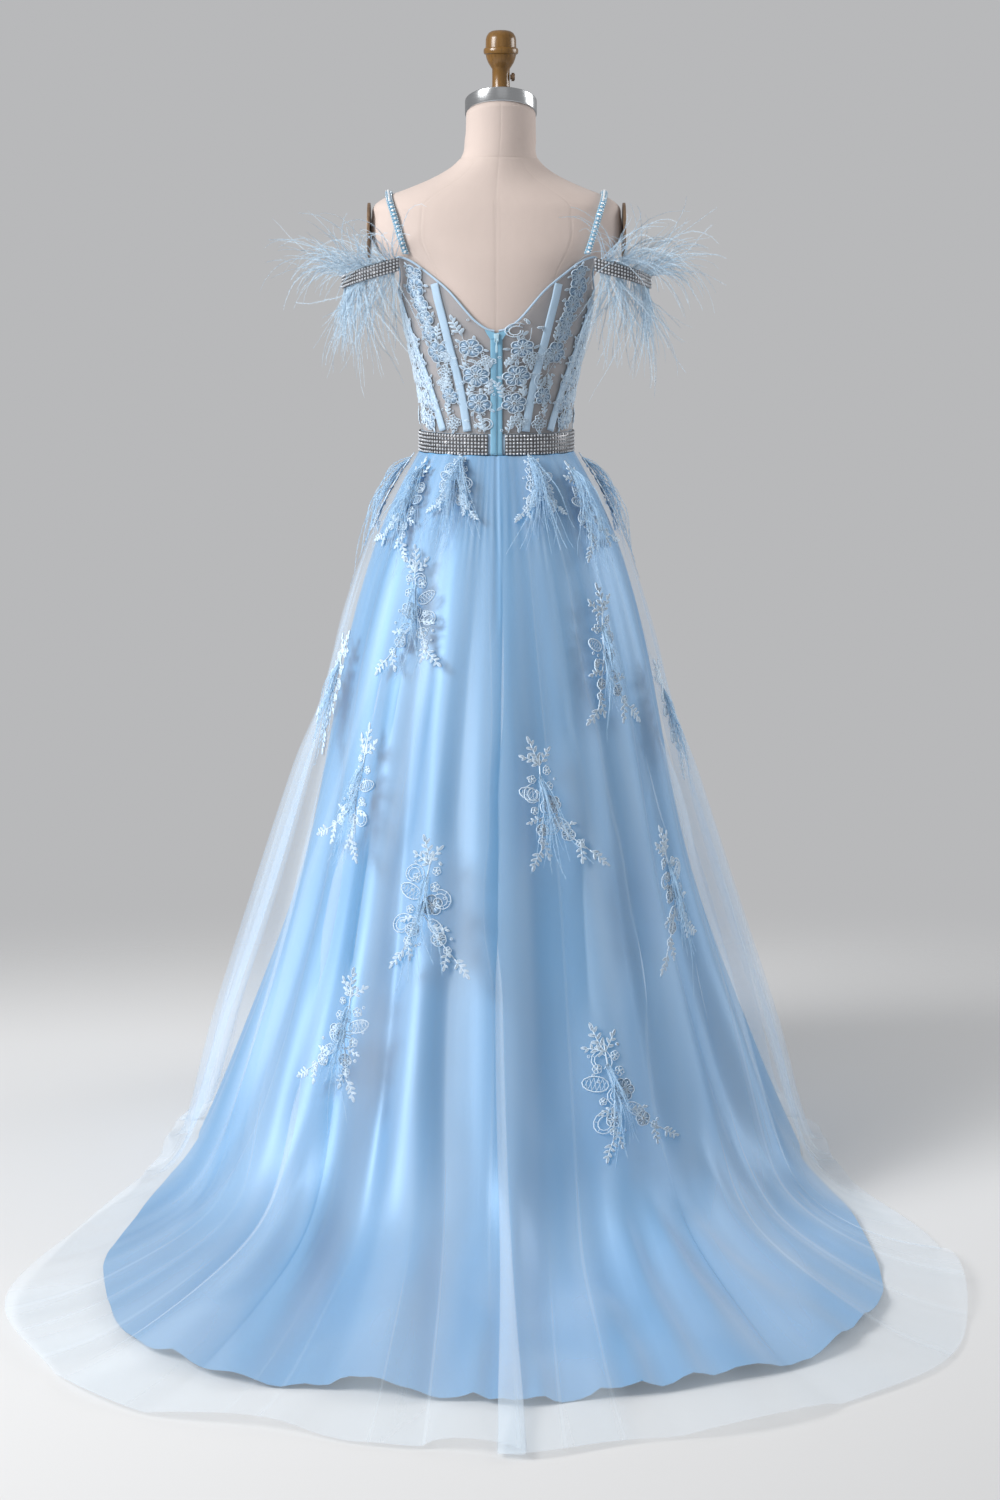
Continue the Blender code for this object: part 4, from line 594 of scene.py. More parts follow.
class Look:
    """A Principled material and the patterns that vary its colour, gloss and relief."""

    def __init__(self, name, colour, roughness, sockets):
        self.material = bpy.data.materials.new(name)
        self.material.use_nodes = True
        self.tree = self.material.node_tree
        self.shader = self.tree.nodes["Principled BSDF"]
        for socket, value in {"Base_Color": (*colour, 1), "Roughness": roughness, **sockets}.items():
            self.shader.inputs[socket.replace("_", " ")].default_value = value

    def linked(self, output, socket):
        self.tree.links.new(output, self.shader.inputs[socket])

    def place(self, scale=(1, 1, 1), source="UV"):
        where = node(self.tree, "ShaderNodeTexCoord", source, {})
        return node(self.tree, "ShaderNodeMapping", "Vector", {"Vector": where, "Scale": scale})

    def noise(self, scale, stretch=(1, 1, 1), source="Object", detail=4.0):
        return node(self.tree, "ShaderNodeTexNoise", "Fac", {
            "Vector": self.place(stretch, source), "Scale": scale, "Detail": detail, "Roughness": 0.55})

    def net(self, scale):
        """The distance from the threads of a net."""
        return node(self.tree, "ShaderNodeTexVoronoi", "Distance", {"Vector": self.place(), "Scale": scale},
                    feature="DISTANCE_TO_EDGE")

    def bands(self, scale, distortion, way="Y", detail=2.0, detail_scale=1.0):
        return node(self.tree, "ShaderNodeTexWave", "Fac", {
            "Vector": self.place(), "Scale": scale, "Distortion": distortion, "Detail": detail,
            "Detail Scale": detail_scale}, wave_type="BANDS", bands_direction=way, wave_profile="SIN")

    def threads(self, scale):
        """Two crossing sets of threads, as one height from 0 to 1."""
        warp, weft = (self.bands(scale, 0.6, way, 1.0, 0.4) for way in "XY")
        return self.math("MAXIMUM", warp, weft)

    def math(self, operation, first, second):
        return node(self.tree, "ShaderNodeMath", 0, {0: first, 1: second}, operation=operation)

    def mixed(self, first, second, share):
        """One height made of two, the second counting by a share."""
        return self.math("ADD", first, self.math("MULTIPLY", second, share))

    def ranged(self, value, low, high, start=0.0, end=1.0, **settings):
        """A value brought from the range start to end into the range low to high."""
        return node(self.tree, "ShaderNodeMapRange", "Result", {
            "Value": value, "From Min": start, "From Max": end, "To Min": low, "To Max": high}, **settings)

    def tinted(self, height, dark, light):
        """Two shades of the base colour, mixed by a height."""
        base = self.shader.inputs["Base Color"].default_value[:3]
        ramp = self.tree.nodes.new("ShaderNodeValToRGB")
        self.tree.links.new(height, ramp.inputs["Fac"])
        for stop, shade in zip(ramp.color_ramp.elements, (dark, light)):
            stop.color = (*[min(1.0, c * shade) for c in base], 1)
        self.linked(ramp.outputs["Color"], "Base Color")

    def roughened(self, height, low, high):
        self.linked(self.ranged(height, low, high), "Roughness")

    def bumped(self, height, distance, strength):
        """A relief as deep as a distance in mm."""
        self.linked(node(self.tree, "ShaderNodeBump", "Normal", {
            "Height": height, "Distance": distance * MM, "Strength": strength}), "Normal")


def look_of(name, colour, roughness, vary, **sockets):
    """A material, made once, that the function vary gives its patterns."""
    material = bpy.data.materials.get(name)
    if material is None:
        look = Look(name, colour, roughness, sockets)
        vary(look)
        material = look.material
    return material


def plain_look(name, colour, roughness, noise, tint, gloss, relief=None, **sockets):
    """A material whose colour, gloss and relief all follow one noise."""
    def vary(look):
        spots = look.noise(*noise)
        look.tinted(spots, *tint)
        look.roughened(spots, *gloss)
        if relief:
            look.bumped(spots, *relief)
    return look_of(name, colour, roughness, vary, **sockets)


def satin_look(colours):
    def vary(look):
        streaks = look.noise(1.0, (900, 9, 1), "UV", 3.0)
        clouds = look.noise(5.0, (1, 1, 0.35))
        look.tinted(look.mixed(clouds, streaks, 0.12), 0.95, 1.05)
        look.roughened(clouds, 0.42, 0.54)
        look.bumped(look.mixed(streaks, clouds, 1.0), 0.3, 0.35)
    return look_of("blue_satin", colours.satin, 0.46, vary, Metallic=0.16, Sheen_Weight=0.25,
                   Sheen_Roughness=0.35, Specular_IOR_Level=0.9, Anisotropic=0.2)


def tulle_look(colours):
    def vary(look):
        net = look.net(700.0)
        look.tinted(look.mixed(look.noise(6.0, (1, 1, 0.4)), net, 0.4), 0.92, 1.06)
        look.bumped(net, 0.2, 0.4)
        folds = look.ranged(look.noise(1.0, (11, 0.6, 1), "UV", 2.0), 0.12, 0.27, 0.35, 0.68)
        edges = look.ranged(look.noise(1.0, (75, 0.35, 1), "UV", 1.0), 0.0, 0.06, 0.64, 0.70)
        doubled = node(look.tree, "ShaderNodeTexVoronoi", "Color", {
            "Vector": look.place((11, 4.0, 1)), "Scale": 1.0, "Smoothness": 0.35}, feature="SMOOTH_F1")
        doubled = node(look.tree, "ShaderNodeSeparateXYZ", "X", {0: doubled})
        height = node(look.tree, "ShaderNodeSeparateXYZ", "Z", {0: look.place(source="Object")})
        near_floor = look.ranged(height, 0.09, 0.0, 0.05, 0.40)
        dense = look.math("ADD", folds, edges)
        look.linked(look.math("ADD", dense, look.math("MULTIPLY", doubled, near_floor)), "Alpha")
    return look_of("blue_tulle", colours.tulle, 0.85, vary, Alpha=0.3, Sheen_Weight=0.5,
                   Sheen_Roughness=0.5, Sheen_Tint=(0.80, 0.90, 1.0, 1), Specular_IOR_Level=0.2)


def lace_look(colours):
    def vary(look):
        twist = look.threads(900.0)
        look.tinted(look.mixed(look.noise(60.0), twist, 0.3), 0.90, 1.03)
        look.bumped(twist, 0.12, 0.4)
    return look_of("corded_lace", colours.lace, 0.55, vary, Sheen_Weight=0.6, Sheen_Roughness=0.4,
                   Specular_IOR_Level=0.4)


def net_look(name, colour, alpha, mesh, clouds, tint, relief, sheen):
    """A see-through cloth of fine threads."""
    def vary(look):
        net = look.net(mesh)
        look.tinted(look.mixed(look.noise(clouds), net, 0.5), *tint)
        look.bumped(net, relief, 0.5)
    return look_of(name, colour, 0.75, vary, Alpha=alpha, Sheen_Weight=sheen, Specular_IOR_Level=0.3)


def lace_net_look(colours):
    darker = [0.8 * c ** 2.2 for c in colours.lace]
    return net_look("lace_net", darker, 0.65, 800.0, 90.0, (0.85, 1.12), 0.15, 0.2)


def sheer_look(colours):
    return net_look("sheer_mesh", colours.mesh, 0.50, 1100.0, 30.0, (0.90, 1.10), 0.2, 0.3)


def feather_look(colours, name="ostrich_feather", depth=1.0):
    """The feathers' look, whose colour a depth over 1 makes deeper."""
    def vary(look):
        look.tinted(look.noise(55.0, detail=3.0), 0.80, 1.04)
        look.bumped(look.noise(900.0), 0.1, 0.2)
    return look_of(name, [c ** depth for c in colours.feather], 0.7, vary, Sheen_Weight=0.6 / depth,
                   Sheen_Roughness=0.4, Specular_IOR_Level=0.3)


def channel_look(colours):
    def vary(look):
        stitches, clouds = look.bands(140.0, 0.0), look.noise(40.0)
        look.tinted(look.mixed(clouds, stitches, 0.15), 0.90, 1.08)
        look.roughened(clouds, 0.34, 0.5)
        look.bumped(look.mixed(look.threads(1400.0), stitches, 0.8), 0.2, 0.5)
    return look_of("channel_satin", colours.channel, 0.40, vary, Sheen_Weight=0.3,
                   Sheen_Roughness=0.4, Specular_IOR_Level=0.5)


def tape_look(colours):
    def vary(look):
        ribs = look.bands(420.0, 0.4)
        look.tinted(look.mixed(look.noise(60.0), ribs, 0.4), 0.82, 1.12)
        look.bumped(ribs, 0.2, 0.7)
    return look_of("zip_tape", colours.zip_tape, 0.7, vary, Sheen_Weight=0.2, Specular_IOR_Level=0.3)


def linen_look(colours):
    def vary(look):
        weave, slubs = look.threads(620.0), look.noise(1.0, (180, 14, 1), "UV", 4.0)
        clouds = look.mixed(look.noise(9.0), slubs, 0.35)
        look.tinted(look.mixed(clouds, weave, 0.12), 0.93, 1.06)
        look.bumped(look.mixed(weave, slubs, 0.6), 0.25, 0.5)
    return look_of("form_linen", colours.linen, 0.9, vary, Sheen_Weight=0.15, Sheen_Roughness=0.6,
                   Specular_IOR_Level=0.25)


def iron_look():
    def vary(look):
        look.tinted(look.noise(7.0), 0.8, 1.3)
        orange_peel = look.noise(220.0)
        look.roughened(orange_peel, 0.38, 0.55)
        look.bumped(orange_peel, 0.15, 0.4)
    return look_of("painted_iron", (0.10, 0.10, 0.11), 0.45, vary, Metallic=0.0, Specular_IOR_Level=0.5)


def floor_look():
    def vary(look):
        middle = node(look.tree, "ShaderNodeVectorMath", "Vector", {
            0: look.place((0.6, 1, 1), "Object"), 1: (0, 1.0, 0)}, operation="ADD")
        away = node(look.tree, "ShaderNodeVectorMath", "Value", {0: middle}, operation="LENGTH")
        look.linked(look.ranged(away, 1.0, 0.0, 1.45, 2.45, interpolation_type="SMOOTHSTEP"), "Alpha")
    return look_of("studio_paper", (0.66, 0.66, 0.66), 0.9, vary, Specular_IOR_Level=0.1)


def even(scale, detail=4.0):
    """A noise of the same grain in every direction."""
    return scale, (1, 1, 1), "Object", detail


def drawn(stretch, detail):
    """A noise drawn out along one direction."""
    return 1.0, stretch, "Object", detail


def crystal_look():
    return plain_look("rhinestone", (0.93, 0.94, 0.96), 0.06, even(240.0, 1.0), (0.70, 1.12), (0.03, 0.14),
                      Metallic=0.8, Coat_Weight=0.6, Coat_Roughness=0.02, Specular_IOR_Level=0.8)


def setting_look():
    return plain_look("stone_setting", (0.250, 0.250, 0.260), 0.35, even(500.0), (0.6, 1.15), (0.2, 0.45),
                      (0.1, 0.4), Metallic=1.0)


def bead_look(colours):
    return plain_look("crystal_beads", [0.75 + 0.25 * c for c in colours.lace], 0.10, even(420.0, 1.0),
                      (0.70, 1.15), (0.04, 0.2), Metallic=0.10, Coat_Weight=1.0, Coat_Roughness=0.03,
                      Specular_IOR_Level=0.9)


def steel_look():
    return plain_look("polished_steel", (0.60, 0.61, 0.62), 0.2, drawn((40, 40, 1800), 3.0), (0.85, 1.1),
                      (0.14, 0.32), (0.05, 0.3), Metallic=1.0)


def varnish_look(colours):
    return plain_look("brown_varnish", colours.varnish, 0.32, drawn((260, 260, 22), 5.0), (0.55, 1.6),
                      (0.22, 0.38), (0.1, 0.25), Coat_Weight=0.4, Coat_Roughness=0.10, Specular_IOR_Level=0.4)


def dark_metal_look():
    return plain_look("dark_metal", (0.25, 0.165, 0.105), 0.38, even(90.0), (0.5, 1.9), (0.28, 0.5),
                      (0.08, 0.4), Metallic=0.6)


def nylon_look(colours):
    return plain_look("zip_nylon", [c ** 0.5 for c in colours.zip_tape], 0.35, even(300.0), (0.85, 1.15),
                      (0.28, 0.42), Specular_IOR_Level=0.6)


# ---------------------------------------------------------------- the skirt's shape

def train_weight(angle):
    """1 behind, where the train lies, and 0 at the sides and in front."""
    off_back = np.minimum(np.mod(angle, 360), 360 - np.mod(angle, 360))
    return ease((88 - off_back) / 62)


def meridian(angle):
    """The satin's line from the waist to its hem, without folds."""
    across, along = compass(angle)
    heights = np.linspace(SKIRT_TOP, 0, 28)
    start = body(SKIRT_TOP, angle, EASE + 1.2 * MM)[:2]
    floor = np.array((FLOOR_HALF_WIDTH * across, FLOOR_CENTRE + FLOOR_HALF_DEPTH * along))
    side = smooth(heights, SKIRT_FALL[:, 0], SKIRT_FALL[:, 1])
    centre = smooth(heights, SKIRT_FALL[:, 0], SKIRT_FALL[:, 2])
    share = centre + (side - centre) * across * across
    hanging = np.column_stack([start + (floor - start) * share[:, None], heights])
    weight = float(train_weight(angle))
    spread = (TRAIN_SPREAD_RIGHT if across > 0 else TRAIN_SPREAD_LEFT) * weight * across * abs(across)
    reach = np.arange(1, 9) / 8
    lying = np.column_stack(
        [floor[0] + spread * reach, floor[1] - TRAIN_LENGTH * weight * reach, 0 * reach])
    return np.vstack([hanging, lying])


def softened(grid, passes):
    """The same grid with its rows eased into each other, its first and last kept."""
    for _ in range(passes):
        inner = (grid[:-2] + 2 * grid[1:-1] + grid[2:]) / 4
        grid = np.concatenate([grid[:1], inner, grid[-1:]])
    return grid


def fold_wave(angle, height_share):
    """The large folds, as heights over the cloth."""
    wave = np.zeros(np.broadcast(angle, height_share).shape)
    for k, (centre, half_width, depth, slant) in enumerate(FOLDS):
        off = off_angle(angle - centre - slant * height_share)
        reach = half_width * np.where(off > 0, *((1.25, 0.75) if k % 2 else (0.8, 1.2)))
        bend = np.cos(math.pi / 2 * np.minimum(np.abs(off) / reach, 1.0))
        wave += depth * MM * np.maximum(0.0, bend) ** 1.5
    return wave


def crease_wave(angle, height):
    """The fine creases between the folds."""
    wave = np.zeros(angle.shape)
    for centre, half_width, depth, top, bottom, slant in CREASES:
        off = off_angle(angle - centre - slant * (1 - height / SKIRT_TOP))
        run = ease((top - height) / 0.14) * ease((height - bottom + 0.08) / 0.10)
        wave += CREASE_DEPTH * depth * MM * np.exp(-((off / half_width / CREASE_WIDTH) ** 2)) * run
    return wave


def train_wave(angle, share, weight):
    """Ridges and short ripples of the cloth that lies behind: angle in degrees, share to the hem."""
    draw = random.Random(31)
    wave = np.zeros(np.broadcast(angle, share).shape)
    centre = -74.0
    while centre < 76:  # ridges that run to the hem
        half_width, depth = draw.uniform(1.8, 4.6), draw.uniform(9.0, 26.0) * MM
        start, slant = draw.uniform(0.54, 0.76), draw.uniform(-14, 14)
        off = off_angle(angle - centre - slant * (share - 0.75))
        run = ease((share - start) / 0.12) * (1 - 0.45 * ease((share - 0.85) / 0.15))
        wave += depth * np.exp(-((off / half_width) ** 2)) * run
        centre += draw.uniform(6.0, 12.5)
    centre = -66.0
    while centre < 68:  # ripples of the hem
        half_width, depth = draw.uniform(1.0, 2.2), draw.uniform(3.0, 9.0) * MM
        start = draw.uniform(0.86, 0.93)
        off = off_angle(angle - centre)
        wave += depth * np.exp(-((off / half_width) ** 2)) * ease((share - start) / 0.07)
        centre += draw.uniform(3.5, 8.0)
    return wave * weight


def skirt_frame(columns, rows):
    """The satin's points without folds, how far down its line each is and how flat it lies."""
    angles = 360 * np.arange(columns) / columns
    shares = np.linspace(0, 1, rows)[:, None]
    base = np.stack([spaced(meridian(angle), shares[:, 0]) for angle in angles], axis=1)
    steady, flowing = (softened(base, int(share * rows * rows)) for share in (STEADY, FLOWING))
    base = steady + (flowing - steady) * ease((shares - 0.42) / 0.2)[..., None]
    lying = ease((grid_out(base, closed=True)[..., 2] - 0.45) / 0.45)
    return angles, shares, base, lying


def fold_height(angles, shares, base, lying, creased):
    """How far the folds lift the satin out of its smooth line."""
    height = base[..., 2]
    near_hem = ease((shares - 0.72) / 0.28)
    growth = smooth(height, FOLD_HEIGHTS, FOLD_GROWTH) * (1 - lying) + (0.95 - 0.55 * near_hem) * lying
    sway = 1.2 * np.sin(5.1 * height + 0.031 * angles) * ease((0.95 - height) / 0.3)
    swayed = angles[None, :] + sway
    wave = fold_wave(swayed, 1 - height / SKIRT_TOP) * growth
    wave += train_wave(swayed, shares, train_weight(angles))
    if creased:
        wave += crease_wave(swayed, height) * np.maximum(growth, 0.10) * (1 - 0.5 * lying)
        seam = np.exp(-((off_angle(angles) / 0.5) ** 2))
        wave -= SEAM_DEPTH * seam[None, :] * ease((height - 0.80) / 0.05)
    return wave


def satin_grid(columns, rows):
    """The satin's points, with its folds, creases and uneven hem."""
    angles, shares, base, lying = skirt_frame(columns, rows)
    wave = fold_height(angles, shares, base, lying, creased=True)
    moved = base + grid_out(base, closed=True) * wave[..., None]
    weight = train_weight(angles)
    uneven = (6 * np.sin(np.radians(9 * angles + 40)) + 4 * np.sin(np.radians(23 * angles))) * MM
    hem = np.stack([*compass(angles), 0 * angles], axis=1)
    moved += hem * (uneven * weight)[:, None] * (ease((shares - 0.8) / 0.2) * lying)[..., None]
    moved[..., 2] = np.maximum(moved[..., 2], SATIN_LOWEST)
    return moved


def sprig_places():
    """The middle of each sprig on the skirt and how far its stiff lace reaches."""
    return [(CARRIER.point(angle, height), 0.62 * length)
            for _, angle, height, length, *_ in (*SKIRT_SPRIGS, *WAIST_SPRIGS)]


def bridged(wave, reach):
    """The height of a light cloth that lies over these ridges, from crest to crest."""
    cover = np.max([np.roll(wave, k, axis=1) for k in range(-reach, reach + 1)], axis=0)
    return np.mean([np.roll(cover, k, axis=1) for k in range(-reach, reach + 1)], axis=0)


def tulle_fall(columns, rows, extra):
    """The tulle's angles and points over the satin's large folds, with more rows past the satin's
    hem, how flat it lies at each point and the room that its own folds have."""
    angles, shares, base, lying = skirt_frame(columns, rows)
    wave = bridged(fold_height(angles, shares, base, lying, creased=False), columns // 90)
    gap = smooth(base[..., 2], SKIRT_FALL[:, 0], SKIRT_FALL[:, 3])
    full_gap = gap * (1 - lying) + TULLE_LYING_GAP * lying + 1.0 * MM
    place = base + grid_out(base, closed=True) * (wave + full_gap)[..., None]
    down = ease((shares - 0.86) / 0.14) * (1 - lying)
    place[..., 2] = place[..., 2] * (1 - down) + TULLE_LOWEST * down
    place[0, :, 2] = SKIRT_TOP
    hem, turn = place[-1], np.radians(angles)
    across = np.sin(turn)
    reach = TULLE_SHORT_HEM + (TULLE_TRAIN - TULLE_SHORT_HEM) * train_weight(angles)
    reach = reach * (1 + 0.07 * np.sin(7 * turn + 1) + 0.05 * np.sin(19 * turn))
    more = []
    for share in np.arange(1, extra + 1) / extra:
        row = hem.copy()
        row[:, 0] += TULLE_TRAIN_FLARE * across * np.abs(across) * reach * share
        row[:, 1] -= np.cos(turn) * reach * share
        row[:, 2] = hem[:, 2] * (1 - share) ** 2 + TULLE_LOWEST * share
        more.append(row)
    place = np.concatenate([place, np.array(more)])
    low = ease((np.arange(rows + extra) / rows - 0.5) / 0.2)[:, None, None]
    place = place + (softened(place, int(FLOWING_TULLE * rows * rows)) - place) * low
    lying, gap = (np.concatenate([table, np.repeat(table[-1:], extra, axis=0)]) for table in (lying, gap))
    return angles, place, lying, gap * (1 - lying) + TULLE_LOOSENESS * lying


def tulle_grid(columns, rows, extra):
    """The tulle's points with their folds, gathers and loose edge."""
    angles, place, lying, gap = tulle_fall(columns, rows, extra)
    turn, weight = np.radians(angles)[None, :], train_weight(angles)
    out = grid_out(place, closed=True)
    side = unit(np.roll(place, -1, axis=1) - np.roll(place, 1, axis=1))
    length = np.linalg.norm(np.roll(place, -1, axis=1) - place, axis=2).sum(axis=1)[:, None]
    wavelength = length / TULLE_FOLDS
    height = place[..., 2]
    uneven = 1.5 * np.sin(3 * turn + 0.5) + 1.2 * np.sin(5 * turn + 2) + 0.9 * np.sin(11 * turn + 1)
    drift = 0.7 * np.sin(4.2 * height + 3 * turn)
    phase = TULLE_FOLDS * turn + uneven + drift
    per_fold = np.sin(7 * turn + 0.4) * 0.5 + np.sin(13 * turn + 2.1) * 0.5
    overlap = (0.62 + 0.80 * per_fold) * wavelength / (2 * math.pi)
    depth = 0.30 * gap * (1 + 0.4 * per_fold)
    gather = 0.14 * gap * ease((height - 0.88) / 0.12)
    flat = np.ones(place.shape[:2])
    for middle, radius in sprig_places():
        far = np.linalg.norm(place - middle, axis=2) / radius
        flat *= 1 - 0.85 * np.exp(-far ** 4)
    hung = ease((1.03 - height) / 0.25)
    gathers = gather * np.sin(TULLE_GATHERS * turn + 2 * uneven)
    swell = (depth * hung * (np.cos(phase) + lying) + gathers) * flat
    swell = np.maximum(swell, -0.45 * gap * (1 - lying))
    shift = overlap * hung * np.sin(phase) * flat
    shift += 0.10 * wavelength * hung * np.sin(0.5 * phase + 1) * flat
    place = place + out * swell[..., None] + side * shift[..., None]
    beyond = np.concatenate([np.zeros(rows), np.arange(1, extra + 1) / extra])[:, None]
    lifts = 4 * MM * (1 + np.cos(0.5 * phase)) * beyond * weight
    place[..., 2] = np.maximum(place[..., 2] + lifts, 1.0 * MM)
    return place


class Surface:
    """A closed skirt grid that flat sizes are laid on."""

    def __init__(self, grid):
        self.grid = grid
        self.out = grid_out(grid, closed=True)
        self.columns = grid.shape[1]

    def mixed(self, table, column, row):
        """What a table of the grid holds at places between its points."""
        row = np.clip(row, 0.0, table.shape[0] - 1.001)
        c, r = np.floor(column).astype(int), np.floor(row).astype(int)
        right, down = (column - c)[..., None], (row - r)[..., None]
        here, beside = c % self.columns, (c + 1) % self.columns
        upper = table[r, here] * (1 - right) + table[r, beside] * right
        lower = table[r + 1, here] * (1 - right) + table[r + 1, beside] * right
        return upper * (1 - down) + lower * down

    def cell(self, angle, height):
        """The column and row, with their fractions, at an angle and a height."""
        column = angle % 360 * self.columns / 360
        heights = self.mixed(self.grid, np.full(self.grid.shape[0] - 1, column),
                             np.arange(self.grid.shape[0] - 1, dtype=float))[:, 2]
        return column, float(np.interp(-height, -heights, np.arange(len(heights))))

    def point(self, angle, height):
        column, row = self.cell(angle, height)
        return self.mixed(self.grid, np.array([column]), np.array([row]))[0]

    def placer(self, angle, height, lift):
        """A function that lays flat sizes round a place, at a lift over the cloth."""
        column, row = self.cell(angle, height)
        near = self.mixed(self.grid, column + np.array([-1.5, 1.5, 0, 0]),
                          row + np.array([0, 0, -2.0, 2.0]))
        width = np.linalg.norm(near[1] - near[0]) / 3
        drop = np.linalg.norm(near[3] - near[2]) / 4

        def place(x, y, high):
            columns, rows = column + x / width, row + y / drop
            over = unit(self.mixed(self.out, columns, rows))
            return self.mixed(self.grid, columns, rows) + over * (high + lift)[..., None]

        return place


CARRIER = Surface(tulle_fall(240, SKIRT_ROWS, 8)[1])
SKIRT_PARTS = (("back_R", 0, 102), ("front", 102, 258), ("back_L", 258, 360))


def skirt_parts(grid):
    """Each panel's name, points, outward directions and where its flat sizes begin, so that they
    run on over the seams."""
    columns = grid.shape[1]
    out = grid_out(grid, closed=True)
    begin = 0.0
    for name, first, last in SKIRT_PARTS:
        start, end = round(first * columns / 360), round(last * columns / 360)
        cells = np.arange(start, end + 1) % columns
        part = grid[:, cells]
        wide = grid_uv(part)[-1, 0]
        yield name, part, out[:, cells], -wide if last == 360 else begin
        begin += wide


# ---------------------------------------------------------------- lace and feathers

def loop(base, heading, length, width, count=9, point=1.0):
    """A petal or leaf outline from its base; a point over 1 makes its tip sharper."""
    turns = np.linspace(0, 2 * math.pi, count + 1)[:-1] + math.pi
    along = 0.5 + 0.5 * np.cos(turns)
    aside = 0.5 * np.sin(turns) * (1 - 0.35 * (point - 1) * along)
    across = np.array((-heading[1], heading[0]))
    return base + np.outer(along * length, heading) + np.outer(aside * width, across)


def direction(degrees):
    return np.array((math.cos(math.radians(degrees)), math.sin(math.radians(degrees))))


def turned(point, degrees):
    """A flat point turned about the middle."""
    along = direction(degrees)
    return np.array((point[0] * along[0] - point[1] * along[1], point[0] * along[1] + point[1] * along[0]))


def lace_leaf(work, base, degrees, length, width, cord):
    """A corded leaf with its vein."""
    heading = direction(degrees)
    outline = loop(base, heading, length, width, 8, 1.9)
    work.patch(outline, 0.15 * MM, 0.25 * MM)
    work.cord(outline, cord, 0.1, high=0.9, closed=True)
    vein = base + np.outer(np.linspace(0.1, 0.85, 3) * length, heading)
    work.cord(vein, cord, 0.2, 0.7, 0.8)


def lace_flower(work, centre, radius, petals, degrees, cord, draw):
    """A flower of crowned petals round a ring and a stone."""
    veined = radius > VEINED_FLOWER
    wide = 1.6 if veined else 1.9
    for k in range(petals):
        turn = degrees + 360 * k / petals + draw.uniform(-6, 6)
        heading = direction(turn)
        base = centre + heading * 0.16 * radius
        across = 1.02 * radius * math.sin(math.pi / petals) * wide
        outline = loop(base, heading, 0.84 * radius, across, 9)
        work.patch(outline, 0.2 * MM, 0.45 * MM)
        work.cord(outline, cord, 0.2, closed=True)
        if veined:
            vein = centre + np.outer(np.linspace(0.3, 0.8, 3) * radius, heading)
            work.cord(vein, cord, 0.5, 0.8, 0.9)
    first = direction(degrees)
    ring = loop(centre - first * 0.2 * radius, first, 0.4 * radius, 0.4 * radius, 7)
    work.cord(ring, cord, 0.5, high=1.3, closed=True)
    work.bead(centre, 0.55 * cord + 0.06 * radius, 0.6 * MM, 1)


def lace_ring(work, centre, radius, cord):
    outline = loop(centre - (radius, 0), np.array((1.0, 0)), 2 * radius, 2 * radius, 6)
    work.cord(outline, cord, 0.1, closed=True)


def lace_fern(work, base, degrees, length, leaves, cord, draw):
    """A curved stem with paired leaflets and one at its tip."""
    bend = draw.uniform(-30, 30)
    points = [base]
    for k in range(6):
        points.append(points[-1] + direction(degrees + bend * (k - 2.5) / 5) * length / 6)
    points = np.array(points)
    work.cord(points, cord, 0.15, 1.1)
    for k in range(leaves):
        at = 0.9 + 4.6 * k / max(leaves - 1, 1)
        root = points[int(at)] + (points[min(int(at) + 1, 6)] - points[int(at)]) * (at % 1)
        side = 1 if k % 2 else -1
        size = length * (0.36 - 0.12 * k / leaves)
        lace_leaf(work, root, degrees + side * draw.uniform(42, 62), size, 0.42 * size, cord)
    lace_leaf(work, points[-1], degrees + bend / 2, 0.34 * length, 0.15 * length, cord)


def lace_scroll(work, start, degrees, size, side, cord):
    """A scroll of two cords with rungs between them."""
    turns = np.linspace(0, 1, 11)
    angle = degrees + side * 300 * turns ** 1.3
    steps = np.stack([np.cos(np.radians(angle)), np.sin(np.radians(angle))], axis=1) * size * 0.19
    line = start + np.cumsum(steps, axis=0)
    ahead = unit(np.gradient(line, axis=0))
    across = np.stack([-ahead[:, 1], ahead[:, 0]], axis=1) * (0.10 * size * (1 - 0.5 * turns))[:, None]
    work.cord(line + across, cord, 0.15)
    work.cord(line - across, cord, 0.15)
    for k in range(1, 10, 2):
        rung = np.array([line[k] + across[k], line[k], line[k] - across[k]])
        work.cord(rung, cord, 0.15, 0.6, 0.6)


def lace_net_leaf(work, base, degrees, length, width, cord):
    """A broad leaf filled with an open net."""
    heading = direction(degrees)
    across = np.array((-heading[1], heading[0]))
    outline = loop(base, heading, length, width, 12, 1.4)
    work.cord(outline, cord, 0.15, 1.2, 1.1, closed=True)
    for k in range(1, 6):
        share = k / 6
        half = 0.5 * width * math.sin(math.pi * share) ** 0.8
        middle = base + heading * length * share
        for lean in (0.35, -0.35):
            arm = across * half + heading * lean * half
            thread = np.array([middle + arm, middle, middle - arm])
            work.cord(thread, cord, 0.15, 0.5, 0.5)


